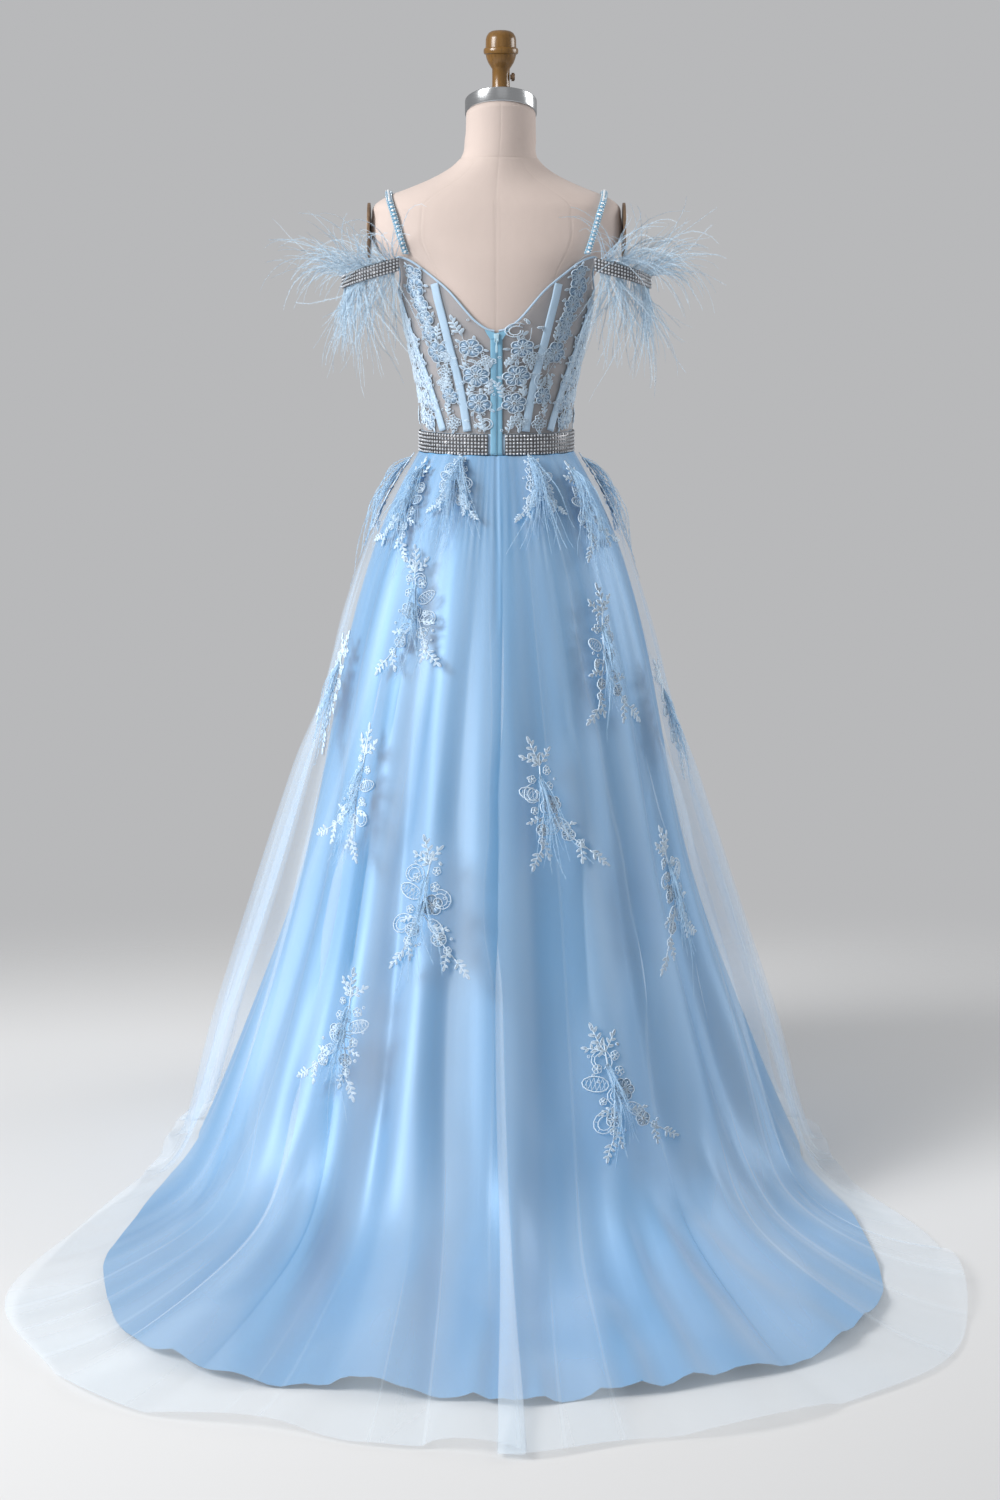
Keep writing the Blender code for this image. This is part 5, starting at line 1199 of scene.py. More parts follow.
def lace_cell(work, centre, radius, cord, draw):
    """One cell of all-over lace. A small one is a fern and a big one a flower with leaves; between
    them are florets, a scroll or a fern."""
    kind = draw.random()
    if radius < SMALL_CELL:
        lace_fern(work, centre + (0, radius), -90 + draw.uniform(-25, 25), 2.3 * radius, 6, cord, draw)
    elif radius >= BIG_CELL:
        lace_flower(work, centre, 0.94 * radius, draw.choice((5, 6)), draw.uniform(0, 72), cord, draw)
        start = draw.uniform(0, 90)
        for k in range(4):
            turn = start + 90 * k + draw.uniform(-18, 18)
            size = radius * draw.uniform(0.40, 0.55)
            foot = centre + direction(turn) * radius * 0.9
            lace_leaf(work, foot, turn + draw.uniform(-35, 35), size, 0.48 * size, 0.85 * cord)
    elif kind < 0.55:
        for k in range(4):
            turn = 90 * k + draw.uniform(-20, 20)
            middle = centre + direction(turn) * 0.55 * radius
            lace_floret(work, middle, 0.5 * radius, draw.uniform(0, 72), 0.9 * cord)
        foot = centre + (0, 0.9 * radius)
        lace_leaf(work, foot, 90 + draw.uniform(-30, 30), 0.7 * radius, 0.32 * radius, cord)
    elif kind < 0.8:
        start = centre - (0.4 * radius, 0)
        lace_scroll(work, start, draw.uniform(0, 360), 1.9 * radius, draw.choice((-1, 1)), cord)
        for k in range(3):
            turn = 120 * k + draw.uniform(-20, 20)
            foot = centre + direction(turn) * radius * 0.5
            lace_leaf(work, foot, turn, 0.6 * radius, 0.26 * radius, cord)
    else:
        foot = centre + (0, 0.9 * radius)
        lace_fern(work, foot, -90 + draw.uniform(-30, 30), 1.9 * radius, 7, cord, draw)
    for k in range(2):
        turn = 180 * k + draw.uniform(0, 180)
        middle = centre + direction(turn) * radius * draw.uniform(1.0, 1.15)
        lace_ring(work, middle, draw.uniform(1.3, 1.8) * MM, 0.7 * cord)


def lace_bridges(work, centres, cord, reach):
    """Thin cords between neighbouring cells, so that the lace holds together."""
    for k, one in enumerate(centres):
        for other in centres[k + 1:]:
            far = np.linalg.norm(other - one)
            if far < reach:
                middle = (one + other) / 2 + np.array((one - other)[::-1]) * (0.12, -0.12)
                work.cord(np.array([one, middle, other]), cord, 0.05, 0.8, 0.8)


def lace_floret(work, centre, radius, degrees, cord):
    """A little open flower of five looped petals."""
    for k in range(5):
        heading = direction(degrees + 72 * k)
        outline = loop(centre + heading * 0.12 * radius, heading, 0.88 * radius, 0.95 * radius, 6)
        work.cord(outline, cord, 0.15, closed=True)
    work.bead(centre, 1.1 * cord, 0.5 * MM)


def sprig_lace(work, length, spread, lean, turn, cord, draw):
    """A free sprig: sprays and florets above, a flower and netted leaves, then two leafy branches."""
    hand = 1 if lean > 0 else -1

    def at(x, s):
        return turned((x * spread + lean * math.sin(math.pi * s), (s - 0.5) * length), turn)

    def any_turn():
        return draw.uniform(0, 72)

    stem = np.array([at(0, s) for s in np.linspace(0.10, 0.58, 6)])
    work.cord(stem, cord, 0.1, 1.4, 1.2)
    for degrees, size, leaves in ((-96, 0.20, 6), (-52, 0.15, 5), (-140, 0.15, 5)):
        way = degrees + turn + draw.uniform(-10, 10)
        lace_fern(work, at(0, 0.19), way, size * length, leaves, cord, draw)
    for x, s, size in ((-0.13, 0.24, 6.0), (0.15, 0.29, 6.5), (-0.14, 0.37, 6.5), (0.20, 0.55, 6.0)):
        lace_floret(work, at(x * hand, s), size * draw.uniform(0.85, 1.1) * MM, any_turn(), cord)
    for x, s, side in ((0.10, 0.34, 1), (-0.08, 0.45, -1), (0.16, 0.66, 1)):
        lace_scroll(work, at(x * hand, s), draw.uniform(0, 360), 0.34 * spread, side * hand, cord)
    lace_flower(work, at(-0.12 * hand, 0.52), 0.155 * spread, draw.choice((5, 6)), any_turn(), cord, draw)
    for x, s, ways, long, wide in ((0.06, 0.45, (-30, 210), 0.36, 0.22),
                                   (-0.08, 0.64, (130, 50), 0.30, 0.17)):
        way = turn + ways[0 if hand > 0 else 1]
        lace_net_leaf(work, at(x * hand, s), way, long * spread, wide * spread, cord)
    for side, drop in ((-hand, 0.06), (hand, -0.02)):
        branch = np.array([at(side * x, s + drop) for x, s in
                           ((0.0, 0.54), (0.10, 0.64), (0.18, 0.74), (0.27, 0.83), (0.34, 0.90))])
        work.cord(branch, cord, 0.1, 1.2, 1.1)
        lace_flower(work, branch[2], 0.105 * spread, 5, any_turn(), cord, draw)
        lace_floret(work, branch[3], 5.5 * MM, any_turn(), cord)
        away = 90 - side * 36 + turn
        for root, way, long, leaves in ((4, away, 0.15, 6), (3, away + side * 46, 0.13, 5),
                                        (1, away - side * 44, 0.11, 5)):
            lace_fern(work, branch[root], way, long * length, leaves, cord, draw)
    for k in range(12):
        s = draw.uniform(0.15, 0.9)
        middle = at(draw.choice((-1, 1)) * draw.uniform(0.10, 0.22 + 0.25 * s), s)
        lace_ring(work, middle, draw.uniform(1.2, 2.1) * MM, 0.9 * cord)
        if k % 3 == 0:
            work.bead(middle, 1.0 * MM, 0.3 * MM, 1)


class Plumage:
    """Gathers ostrich strands, each a tapering shaft with rows of barbs."""

    def __init__(self, draw):
        self.draw = draw
        self.points = []
        self.faces = []
        self.count = 0

    def strand(self, path, out, shaft, barb, spacing):
        """A strand along a path, its barbs as long and as far apart as asked."""
        path = np.asarray(path, float)
        count = len(path)
        ahead = unit(np.gradient(path, axis=0))
        side = unit(np.cross(ahead, out))
        over = np.cross(side, ahead)
        width = shaft * (1 - 0.75 * np.linspace(0, 1, count))[:, None]
        ring = np.stack([path + over * width, path - over * 0.5 * width + side * 0.87 * width,
                         path - over * 0.5 * width - side * 0.87 * width], axis=1).reshape(-1, 3)
        faces = grid_faces(count, 3, closed=True, start=self.count).tolist()
        last = self.count + 3 * (count - 1)
        faces += [[self.count, self.count + 1, self.count + 2], [last + 2, last + 1, last]]
        self.points.append(ring)
        self.faces += faces
        self.count += len(ring)
        steps = max(4, int(line_length(path) / spacing))
        at = (np.arange(steps) + self.draw.random()) / (steps + 1)
        keys = np.linspace(0, 1, count)
        for turn_side in (-1, 1):
            shares = np.clip(at + self.draw.uniform(-0.4, 0.4) / steps, 0, 1)
            root, later, forward, beside, above = (
                np.stack([np.interp(shares + gap, keys, table[:, k]) for k in range(3)], axis=1)
                for table, gap in ((path, 0), (path, 0.35 / steps), (ahead, 0), (side, 0), (over, 0)))
            roll = np.array([self.draw.uniform(-1.1, 1.1) for _ in shares])[:, None]
            uneven = np.array([self.draw.uniform(0.7, 1.25) for _ in shares])[:, None]
            reach = barb * (1 - 0.55 * shares ** 2)[:, None] * uneven
            aside = beside * turn_side * np.cos(roll) + above * np.sin(roll)
            tip = root + unit(forward * 1.1 + aside) * reach
            block = np.stack([root, later, tip], axis=1).reshape(-1, 3)
            order = self.count + np.arange(len(block)).reshape(-1, 3)
            self.points.append(block)
            self.faces += order.tolist()
            self.count += len(block)

    def made(self, name, look):
        return mesh_object(name, np.vstack(self.points), self.faces, look)


def feather_tuft(plumage, place, foot, count, length, fan, heading, puff, draw):
    """Fronds and single strands that fan out from one place of a cloth and hang over it."""
    for k in range(count):
        side = max(-1.0, min(1.0, draw.gauss(0, 0.45)))
        stray = draw.random() < 0.12
        reach = length * draw.uniform(0.55, 1.1) * (1.25 if stray else 1)
        turn = math.radians(heading + fan * side * (1.7 if stray else 1))
        s = np.linspace(0, 1, 9)
        bend = draw.uniform(-0.22, 0.22) * reach
        wave = draw.uniform(-0.06, 0.06) * reach * np.sin(2 * math.pi * (s + draw.random()))
        x = foot[0] + draw.uniform(-4, 4) * MM + reach * s * math.sin(turn) * (1 - 0.3 * s)
        x = x + bend * s * s + wave * s
        y = foot[1] + draw.uniform(-7, 3) * MM + reach * s * math.cos(turn) + 0.12 * reach * s * s
        rise = draw.uniform(1.5, 9.0) * puff * MM * np.sin(math.pi * np.minimum(s * 1.15, 1)) + 1.6 * MM
        path = place(x, y, rise)
        over = unit(place(x, y, rise + MM) - path)
        barb, spacing = (4.4, 1.9) if k % 2 else (1.7, 3.0)
        plumage.strand(path, over, 0.55 * MM, barb * MM, spacing * MM)


# ---------------------------------------------------------------- modelling by hand

def applied():
    """The active object, its place, turn and scale put into its mesh."""
    bpy.ops.object.transform_apply(location=True, rotation=True, scale=True)
    return bpy.context.active_object


def finished(name, look, nodes, body_name=GOWN):
    """Names the active piece, shades it, gives it its material and says what it stands for."""
    made = applied()
    bpy.ops.object.shade_smooth_by_angle(angle=math.radians(35))
    made.name = name
    made.data.name = name
    made.data.materials.clear()
    made.data.materials.append(look)
    return tie(made, nodes, body_name)


def tie(made, nodes=(), body_name=GOWN):
    """Says which body a piece rides on and the solids that it stands for."""
    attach(made, body_name)
    if nodes:
        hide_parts(*nodes)
    return made


def chosen(made, test):
    """Selects the faces whose middle and normal pass a test, in edit mode."""
    bpy.ops.object.mode_set(mode="EDIT")
    bpy.ops.mesh.select_mode(type="FACE")
    bpy.ops.mesh.select_all(action="DESELECT")
    work = bmesh.from_edit_mesh(made.data)
    for face in work.faces:
        face.select_set(bool(test(face.calc_center_median(), face.normal)))
    bmesh.update_edit_mesh(made.data)


def bevelled(made, width, segments, over=30):
    """Rounds the edges that turn by more than an angle; the width is in mm."""
    rounding = made.modifiers.new("bevel", "BEVEL")
    rounding.width, rounding.segments = width * MM, segments
    rounding.limit_method, rounding.angle_limit = "ANGLE", math.radians(over)
    bpy.context.view_layer.objects.active = made
    bpy.ops.object.modifier_apply(modifier=rounding.name)


def extruded(rise, spread=(1, 1)):
    """Draws the chosen faces up into new ones, which are then scaled across."""
    bpy.ops.mesh.extrude_region_move(TRANSFORM_OT_translate={"value": (0, 0, rise)})
    if spread != (1, 1):
        bpy.ops.transform.resize(value=(*spread, 1))


def spun(name, profile, centre, steps, look, nodes):
    """A turned piece: its profile is drawn as an edge chain and spun about a vertical axis."""
    clear_choice()
    outline = bpy.data.meshes.new(name)
    points = [(centre[0] + radius, centre[1], height) for radius, height in profile]
    outline.from_pydata(points, [(k, k + 1) for k in range(len(points) - 1)], [])
    made = bpy.data.objects.new(name, outline)
    bpy.context.scene.collection.objects.link(made)
    bpy.context.view_layer.objects.active = made
    made.select_set(True)
    bpy.ops.object.mode_set(mode="EDIT")
    bpy.ops.mesh.select_all(action="SELECT")
    bpy.ops.mesh.spin(steps=steps, angle=2 * math.pi, center=(centre[0], centre[1], 0), axis=(0, 0, 1))
    bpy.ops.mesh.select_all(action="SELECT")
    bpy.ops.mesh.remove_doubles(threshold=0.02 * MM)
    bpy.ops.mesh.normals_make_consistent(inside=False)
    bpy.ops.object.mode_set(mode="OBJECT")
    return finished(name, look, nodes)


def cylinder(radius, depth, place, sides, rotation=(0, 0, 0)):
    """A cylinder with its middle at a place."""
    clear_choice()
    bpy.ops.mesh.primitive_cylinder_add(
        vertices=sides, radius=radius, depth=depth, location=place, rotation=rotation)
    return applied()


def block(size, place):
    """A block with its middle at a place."""
    clear_choice()
    bpy.ops.mesh.primitive_cube_add(size=1, location=place)
    bpy.context.active_object.scale = size
    return applied()


def join_to(made, others):
    """Joins the other objects into one, which is the active one then."""
    clear_choice()
    for other in others:
        other.select_set(True)
    made.select_set(True)
    bpy.context.view_layer.objects.active = made
    bpy.ops.object.join()


def model_stone():
    """One faceted round stone of radius 1 in its cup: points, faces and the look of each face."""
    stone = cylinder(0.92, 0.3, (0, 0, 0.35), 8)
    chosen(stone, lambda middle, normal: normal.z > 0.9)
    extruded(0.42, (0.56, 0.56))
    bpy.ops.mesh.poke(offset=0.04)
    bpy.ops.object.mode_set(mode="OBJECT")
    points, faces, looks = [], [], []
    for made, look in ((stone, 0), (cylinder(1.30, 0.42, (0, 0, 0.21), 4, (0, 0, math.pi / 4)), 1)):
        faces += [tuple(k + len(points) for k in face.vertices) for face in made.data.polygons]
        points += [tuple(v.co) for v in made.data.vertices]
        looks += [look] * len(made.data.polygons)
        bpy.data.objects.remove(made)
    return np.array(points), faces, looks


STONE = []


def set_stones(name, places, outs, sides, radii, draw, tilt):
    """Copies of one faceted stone set along a piece, joined in one mesh."""
    if not STONE:
        STONE.extend(model_stone())
    model, faces, looks = STONE
    points, every = [], []
    for k, (place, out, side, radius) in enumerate(zip(places, outs, sides, radii)):
        out = unit(out + np.array([draw.gauss(0, tilt) for _ in range(3)]))
        side = unit(side - out * np.dot(side, out))
        up = np.cross(out, side)
        points.append(place + (model[:, :1] * side + model[:, 1:2] * up + model[:, 2:] * out) * radius)
        every += [tuple(i + k * len(model) for i in face) for face in faces]
    made = mesh_object(name, np.vstack(points), every, [crystal_look(), setting_look()],
                       smooth_shade=False, outwards=True)
    made.data.polygons.foreach_set("material_index", np.tile(np.array(looks, np.int32), len(places)))
    return made


def row_shares(count):
    """The middles of equal shares of a line."""
    return (np.arange(count) + 0.5) / count


def stone_rows(name, line, outs, pitch, rows, rise, lift, radius, draw):
    """Equal rows of stones along a band, one above the other."""
    shares = row_shares(int(line_length(line) / pitch))
    mid, out = spaced(line, shares), unit(spaced(outs, shares))
    aside = unit(np.gradient(mid, axis=0))
    places = [mid + out * lift + UP * (row - (rows - 1) / 2) * rise for row in range(rows)]
    return set_stones(name, np.concatenate(places), np.tile(out, (rows, 1)), np.tile(aside, (rows, 1)),
                      np.full(rows * len(mid), radius), draw, 0.16)


class GownStep(bpy.types.Operator):
    """What every step shares: it makes its pieces from the panel's sizes and colours"""
    bl_options = {"REGISTER", "UNDO"}

    def execute(self, context):
        self.make(context.scene.gown_sizes, context.scene.gown_colours)
        return {"FINISHED"}


# ---------------------------------------------------------------- the dress form

class GOWN_OT_form_torso(GownStep):
    """The form's body: hard foam under stretched linen, with its sewn seams"""
    bl_idname = "gown.form_torso"
    bl_label = "Form's Body"

    def make(self, sizes, colours):
        heights = np.concatenate([
            np.linspace(0.8003, 1.40, 60), np.linspace(1.407, 1.488, 28),
            (1.4895, 1.4911, NECK_SEAM, 1.4929, 1.4945), np.linspace(1.498, 1.53, 10)])
        seams = (0, 34, 90, 146, 180, 214, 270, 326)
        angles = np.unique(np.concatenate([np.arange(0, 360, 4.0)] + [
            (np.array((-1.3, -0.7, -0.3, 0, 0.3, 0.7, 1.3)) + seam) % 360 for seam in seams]))
        rows = body(heights[:, None], angles[None, :], -1.0 * MM)
        top = body(NECK_TOP, angles, -1.0 * MM)
        top[:, 2] = NECK_TOP - math.tan(NECK_TILT) * top[:, 1] - 0.3 * MM
        low = rows[-1]
        between = np.stack([low + (top - low) * share for share in np.linspace(0.2, 1, 5)])
        rows = np.concatenate([rows, between])[::-1]
        out = grid_out(rows, closed=True)
        groove = np.zeros(rows.shape[:2])
        for seam in seams:
            off = np.abs(off_angle(angles - seam))[None, :]
            width = 1.3 * MM / (np.linalg.norm(rows[..., :2], axis=2) * math.pi / 180)
            below = ease((1.495 - rows[..., 2]) / 0.004) if seam % 180 else 1.0
            groove += 0.25 * MM * np.exp(-((off / width) ** 2)) * below
        groove += 0.7 * MM * np.exp(-(((rows[..., 2] - NECK_SEAM) / 0.0011) ** 2))
        rows = rows - out * groove[..., None]
        count = rows.shape[1]
        faces = grid_faces(len(rows), count, closed=True)[:, ::-1].tolist()
        faces.append(list(range(count)))
        faces.append(list(range(count * len(rows) - 1, count * (len(rows) - 1) - 1, -1)))
        around = np.cumsum(np.full(count, 0.0055))
        uv = np.stack(np.meshgrid(around, rows[:, 0, 2]), axis=-1).reshape(-1, 2)
        made = mesh_object("linen_form", rows.reshape(-1, 3), faces, linen_look(colours), uv, outwards=True)
        tie(made, ["form_torso"])


class GOWN_OT_neck_cap(GownStep):
    """The tilted steel neck plate with its level boss"""
    bl_idname = "gown.neck_cap"
    bl_label = "Neck Cap"

    def make(self, sizes, colours):
        cap = cylinder(CAP_RADIUS, 0.12, (NECK_LEAN, 0, NECK_TOP + 0.01), 96)
        tilt = np.array((0, math.sin(NECK_TILT), math.cos(NECK_TILT)))
        for lift, cleared in ((0.0, {"clear_inner": True}), (CAP_HEIGHT, {"clear_outer": True})):
            bpy.ops.object.mode_set(mode="EDIT")
            bpy.ops.mesh.select_all(action="SELECT")
            bpy.ops.mesh.bisect(plane_co=(0, 0, NECK_TOP + lift), plane_no=tilt, use_fill=True, **cleared)
            bpy.ops.object.mode_set(mode="OBJECT")
        bevelled(cap, 1.6, 4, over=50)
        boss_foot = NECK_TOP + 0.010
        boss = cylinder(11 * MM, BOSS_TOP - boss_foot, (NECK_LEAN, 0, (BOSS_TOP + boss_foot) / 2), 48)
        bevelled(boss, 0.5, 2)
        join_to(cap, [boss])
        finished("neck_cap", steel_look(), ["form_neck_cap"])


class GOWN_OT_finial(GownStep):
    """The turned and varnished finial and its thumbscrew"""
    bl_idname = "gown.finial"
    bl_label = "Finial and Thumbscrew"

    def make(self, sizes, colours):
        foot = BOSS_TOP + 0.3 * MM
        profile = [(0.0, foot)] + [(r * MM, foot + h * MM) for r, h in FINIAL_PROFILE]
        spun("finial", profile, (NECK_LEAN, 0), 72, varnish_look(colours), ["form_finial"])
        head = cylinder(6 * MM, 4.2 * MM, (NECK_LEAN + 17.6 * MM, 0, SCREW_HEIGHT), 24, SIDEWAYS)
        chosen(head, lambda middle, normal: abs(normal.x) < 0.2 and round(
            math.degrees(math.atan2(middle.z - SCREW_HEIGHT, middle.y)) / 15 - 0.5) % 2)
        bpy.ops.mesh.inset(thickness=0.12 * MM, depth=-0.7 * MM, use_individual=True)
        bpy.ops.object.mode_set(mode="OBJECT")
        bevelled(head, 0.2, 2)
        stem = cylinder(3.6 * MM, 3.0 * MM, (NECK_LEAN + 15.1 * MM, 0, SCREW_HEIGHT), 24, SIDEWAYS)
        nose = cylinder(4.6 * MM, 1.2 * MM, (NECK_LEAN + 19.9 * MM, 0, SCREW_HEIGHT), 24, SIDEWAYS)
        bevelled(nose, 0.4, 2)
        join_to(head, [stem, nose])
        finished("thumbscrew", dark_metal_look(), ["form_finial_screw"], "finial_screw")


class GOWN_OT_arm_plates(GownStep):
    """The oval plates that close the form's armholes"""
    bl_idname = "gown.arm_plates"
    bl_label = "Arm Plates"

    def make(self, sizes, colours):
        for side, end in SIDES:
            plate = cylinder(1.0, 1.0, (0, 0, 0), 64, SIDEWAYS)
            plate.scale = (4 * MM, 36 * MM, 42 * MM)
            plate.location = (side * 0.1890, 0, ARM_PLATE_HEIGHT)
            applied()
            chosen(plate, lambda middle, normal: normal.x * side > 0.9)
            bpy.ops.mesh.inset(thickness=4 * MM, depth=0)
            bpy.ops.mesh.inset(thickness=0.8 * MM, depth=-0.6 * MM)
            bpy.ops.object.mode_set(mode="OBJECT")
            bevelled(plate, 0.7, 3)
            ring = cylinder(8 * MM, 1.4 * MM, (side * 0.1908, 0, ARM_PLATE_HEIGHT), 32, SIDEWAYS)
            bevelled(ring, 0.4, 2)
            join_to(plate, [ring])
            finished("arm_plate_" + end, dark_metal_look(), ["form_arm_plate_" + end])


class GOWN_OT_stand(GownStep):
    """The pole and round foot inside the skirt"""
    bl_idname = "gown.stand"
    bl_label = "Stand"

    def make(self, sizes, colours):
        profile = [(radius * MM, height * MM) for radius, height in STAND_PROFILE]
        spun("stand", profile, (0, 0), 72, iron_look(), ["form_stand"])


# ---------------------------------------------------------------- the bodice

def up_bodice(top, share):
    """The height at a share of the way from the belt to the top edge."""
    return BELT_TOP + BELT_GAP + (top_edge(top) - BELT_TOP - BELT_GAP) * share


def seam_line(seam, count, out, side):
    """Points up a seam from the belt to the top edge, and the directions out of the body."""
    waist, top = SEAMS[seam]
    shares = np.linspace(0, 1, count)
    angle = side * (waist + (top - waist) * shares)
    height = up_bodice(top, shares)
    return body(height, angle, out), body_out(height, angle)


class GOWN_OT_bodice(GownStep):
    """The sheer mesh panels of the bodice"""
    bl_idname = "gown.bodice"
    bl_label = "Bodice Panels"

    def make(self, sizes, colours):
        look = sheer_look(colours)
        for side, end in SIDES:
            for name, seam, other, flat, area in BODICE_PANELS:
                self.panel(f"{name}_{end}", SEAMS[seam], SEAMS[other], side, look, flat, area)
        self.panel("front", SEAMS["front"], SEAMS["front_left"], 1, look, *FRONT_PANEL)

    def panel(self, name, seam, other, side, look, flat, area):
        across = np.linspace(0, 1, 25)[None, :]
        up = np.linspace(1, 0, BODY_STEPS)[:, None]
        top = seam[1] + (other[1] - seam[1]) * across
        waist = seam[0] + (other[0] - seam[0]) * across
        angle = waist + (top - waist) * up
        grid = body(up_bodice(top, up), side * angle, BODICE_OUT - 0.5 * MM)
        made = cloth("mesh_" + name, grid if side > 0 else grid[:, ::-1], look)
        tie(made, ["bodice_" + name])


class GOWN_OT_boning(GownStep):
    """The satin channels stitched over the seams, and the binding of the top edge"""
    bl_idname = "gown.boning"
    bl_label = "Boning and Binding"

    def make(self, sizes, colours):
        look = channel_look(colours)
        section = soft_bar(12.5 * MM, 1.7 * MM)
        for side, end in SIDES:
            for seam in ("inner", "outer", "front"):
                line, outs = seam_line(seam, CHANNEL_STEPS, BODICE_OUT + 0.2 * MM, side)
                cut = line_length(line)
                shares = np.linspace(0.012, 0.975, CHANNEL_STEPS)
                line = spaced(line, shares)
                outs = unit(spaced(outs, shares))
                sides = unit(np.cross(np.gradient(line, axis=0), outs))
                made = swept(f"channel_{seam}_{end}", line, outs, sides, section, look)
                tie(made, [f"boning_{seam}_{end}"])
        self.binding(look)

    def binding(self, look):
        """The strip that rolls over the top edge from one side of the zip to the other."""
        angles = np.linspace(1.0, 359.0, 320)
        line = body(top_edge(angles), angles, BODICE_OUT - 0.75 * MM)
        outs = body_out(top_edge(angles), angles)
        off_edge = unit(np.cross(outs, np.gradient(line, axis=0)))
        line = line + off_edge * 2.0 * MM
        turns = np.linspace(-0.36 * math.pi, 1.36 * math.pi, 11)[None, :, None]
        rolled = np.cos(turns) * outs[:, None] * 1.2 * MM + np.sin(turns) * off_edge[:, None] * 1.7 * MM
        made = cloth("neckline_edge", line[:, None] + rolled, look)
        tie(made, ["neckline_binding"])
        round(line_length(line), 3)


def strap_line(side, count):
    """A strap's line over the shoulder and the directions out of it."""
    back, front = [], []
    for across, height in STRAP_BACK:
        behind, before = skin_depth(across - 5 * MM, height)
        back.append((side * across, -behind - 2.2 * MM, height))
        front.append((side * across, before + 2.2 * MM, height))
    line = smooth_line([*back, (side * STRAP_TOP[0], 0, STRAP_TOP[1]), *reversed(front)], count)
    outs = unit(np.cross(np.gradient(line, axis=0), ACROSS))
    flip = np.where(outs[:, 2] + 0.2 * np.sign(line[:, 1]) * outs[:, 1] < 0, -1.0, 1.0)[:, None]
    return line, outs * flip


class GOWN_OT_straps(GownStep):
    """The shoulder straps with their crystals"""
    bl_idname = "gown.straps"
    bl_label = "Straps"

    def make(self, sizes, colours):
        draw = random.Random(5)
        for side, end in SIDES:
            line, outs = strap_line(side, STRAP_STEPS)
            base = swept(f"strap_band_{end}", line, outs, ACROSS, soft_bar(9.6 * MM, 1.5 * MM),
                         tape_look(colours))
            count = int(line_length(line) / sizes.strap_pitch)
            places, tops, radii = [], [], []
            for row in (0, -1, 1):
                many, radius = (int(count * 1.7), 1.0) if row else (count, 2.5)
                shares = row_shares(many)
                mid, out = spaced(line, shares), unit(spaced(outs, shares))
                places += list(mid + out * STRAP_ROW_LIFT + ACROSS * row * STRAP_SIDE_ROW)
                tops += list(out)
                radii += [radius * MM] * many
            asides = [ACROSS] * len(places)
            stones = set_stones(f"strap_crystals_{end}", places, tops, asides, radii, draw, 0.12)
            stones.data.materials[0] = bead_look(colours)
            stones.data.materials[1] = tape_look(colours)
            tie(base, [f"strap_{end}"])
            tie(stones)
            round(line_length(line), 3)


def arm_line(side, count):
    """An arm band's line and the directions out of it."""
    line = smooth_line(ARM_LOOP * (side, 1, 1), count)
    outs = unit(np.cross(np.gradient(line, axis=0), UP)) * side
    return line, outs


class GOWN_OT_arm_bands(GownStep):
    """The off-shoulder bands set with four rows of stones"""
    bl_idname = "gown.arm_bands"
    bl_label = "Arm Bands"

    def make(self, sizes, colours):
        draw = random.Random(8)
        for side, end in SIDES:
            line, outs = arm_line(side, BAND_STEPS)
            cut = line_length(line)
            base = swept(f"arm_tape_{end}", line, outs, UP, soft_bar(19.5 * MM, 1.4 * MM), setting_look())
            stones = stone_rows(f"arm_stones_{end}", line, outs, sizes.band_pitch, ARM_ROWS, ARM_RISE,
                                1.3 * MM, 1.95 * MM, draw)
            tie(base, [f"arm_band_{end}"])
            tie(stones)


def belt_line(first, last, count, out):
    """A level line round the waist and the directions out of it."""
    angles = np.linspace(first, last, count)
    line = body(BELT_MIDDLE, angles, out)
    around = body(BELT_MIDDLE, angles + 1, out) - body(BELT_MIDDLE, angles - 1, out)
    return line, unit(np.cross(around, UP))


class GOWN_OT_belt(GownStep):
    """The satin waistband and the stone belt over it"""
    bl_idname = "gown.belt"
    bl_label = "Waistband and Belt"

    def make(self, sizes, colours):
        draw = random.Random(21)
        height = BELT_TOP - BELT_BOTTOM
        line, outs = belt_line(0.4, 359.6, BELT_STEPS, 2.0 * MM)
        band = swept("waist_ribbon", line, outs, UP, soft_bar(height, 1.6 * MM), channel_look(colours))
        tie(band, ["waistband"])
        round(line_length(line), 3)
        line, outs = belt_line(BELT_OPENING, 360 - BELT_OPENING, BELT_STEPS, 4.6 * MM)
        cut = line_length(line)
        tape = swept("belt_tape", line, outs, UP, soft_bar(height - 0.5 * MM, 1.1 * MM), setting_look())
        stones = stone_rows("belt_stones", line, outs, sizes.belt_pitch, BELT_ROWS, BELT_RISE,
                            0.9 * MM, 2.0 * MM, draw)
        tie(tape, ["belt"])
        tie(stones)


# ---------------------------------------------------------------- the zip

def zip_back(height):
    """How far behind the middle the zip's teeth are."""
    return skin_depth(0, height)[0] + BODICE_OUT + 1.4 * MM


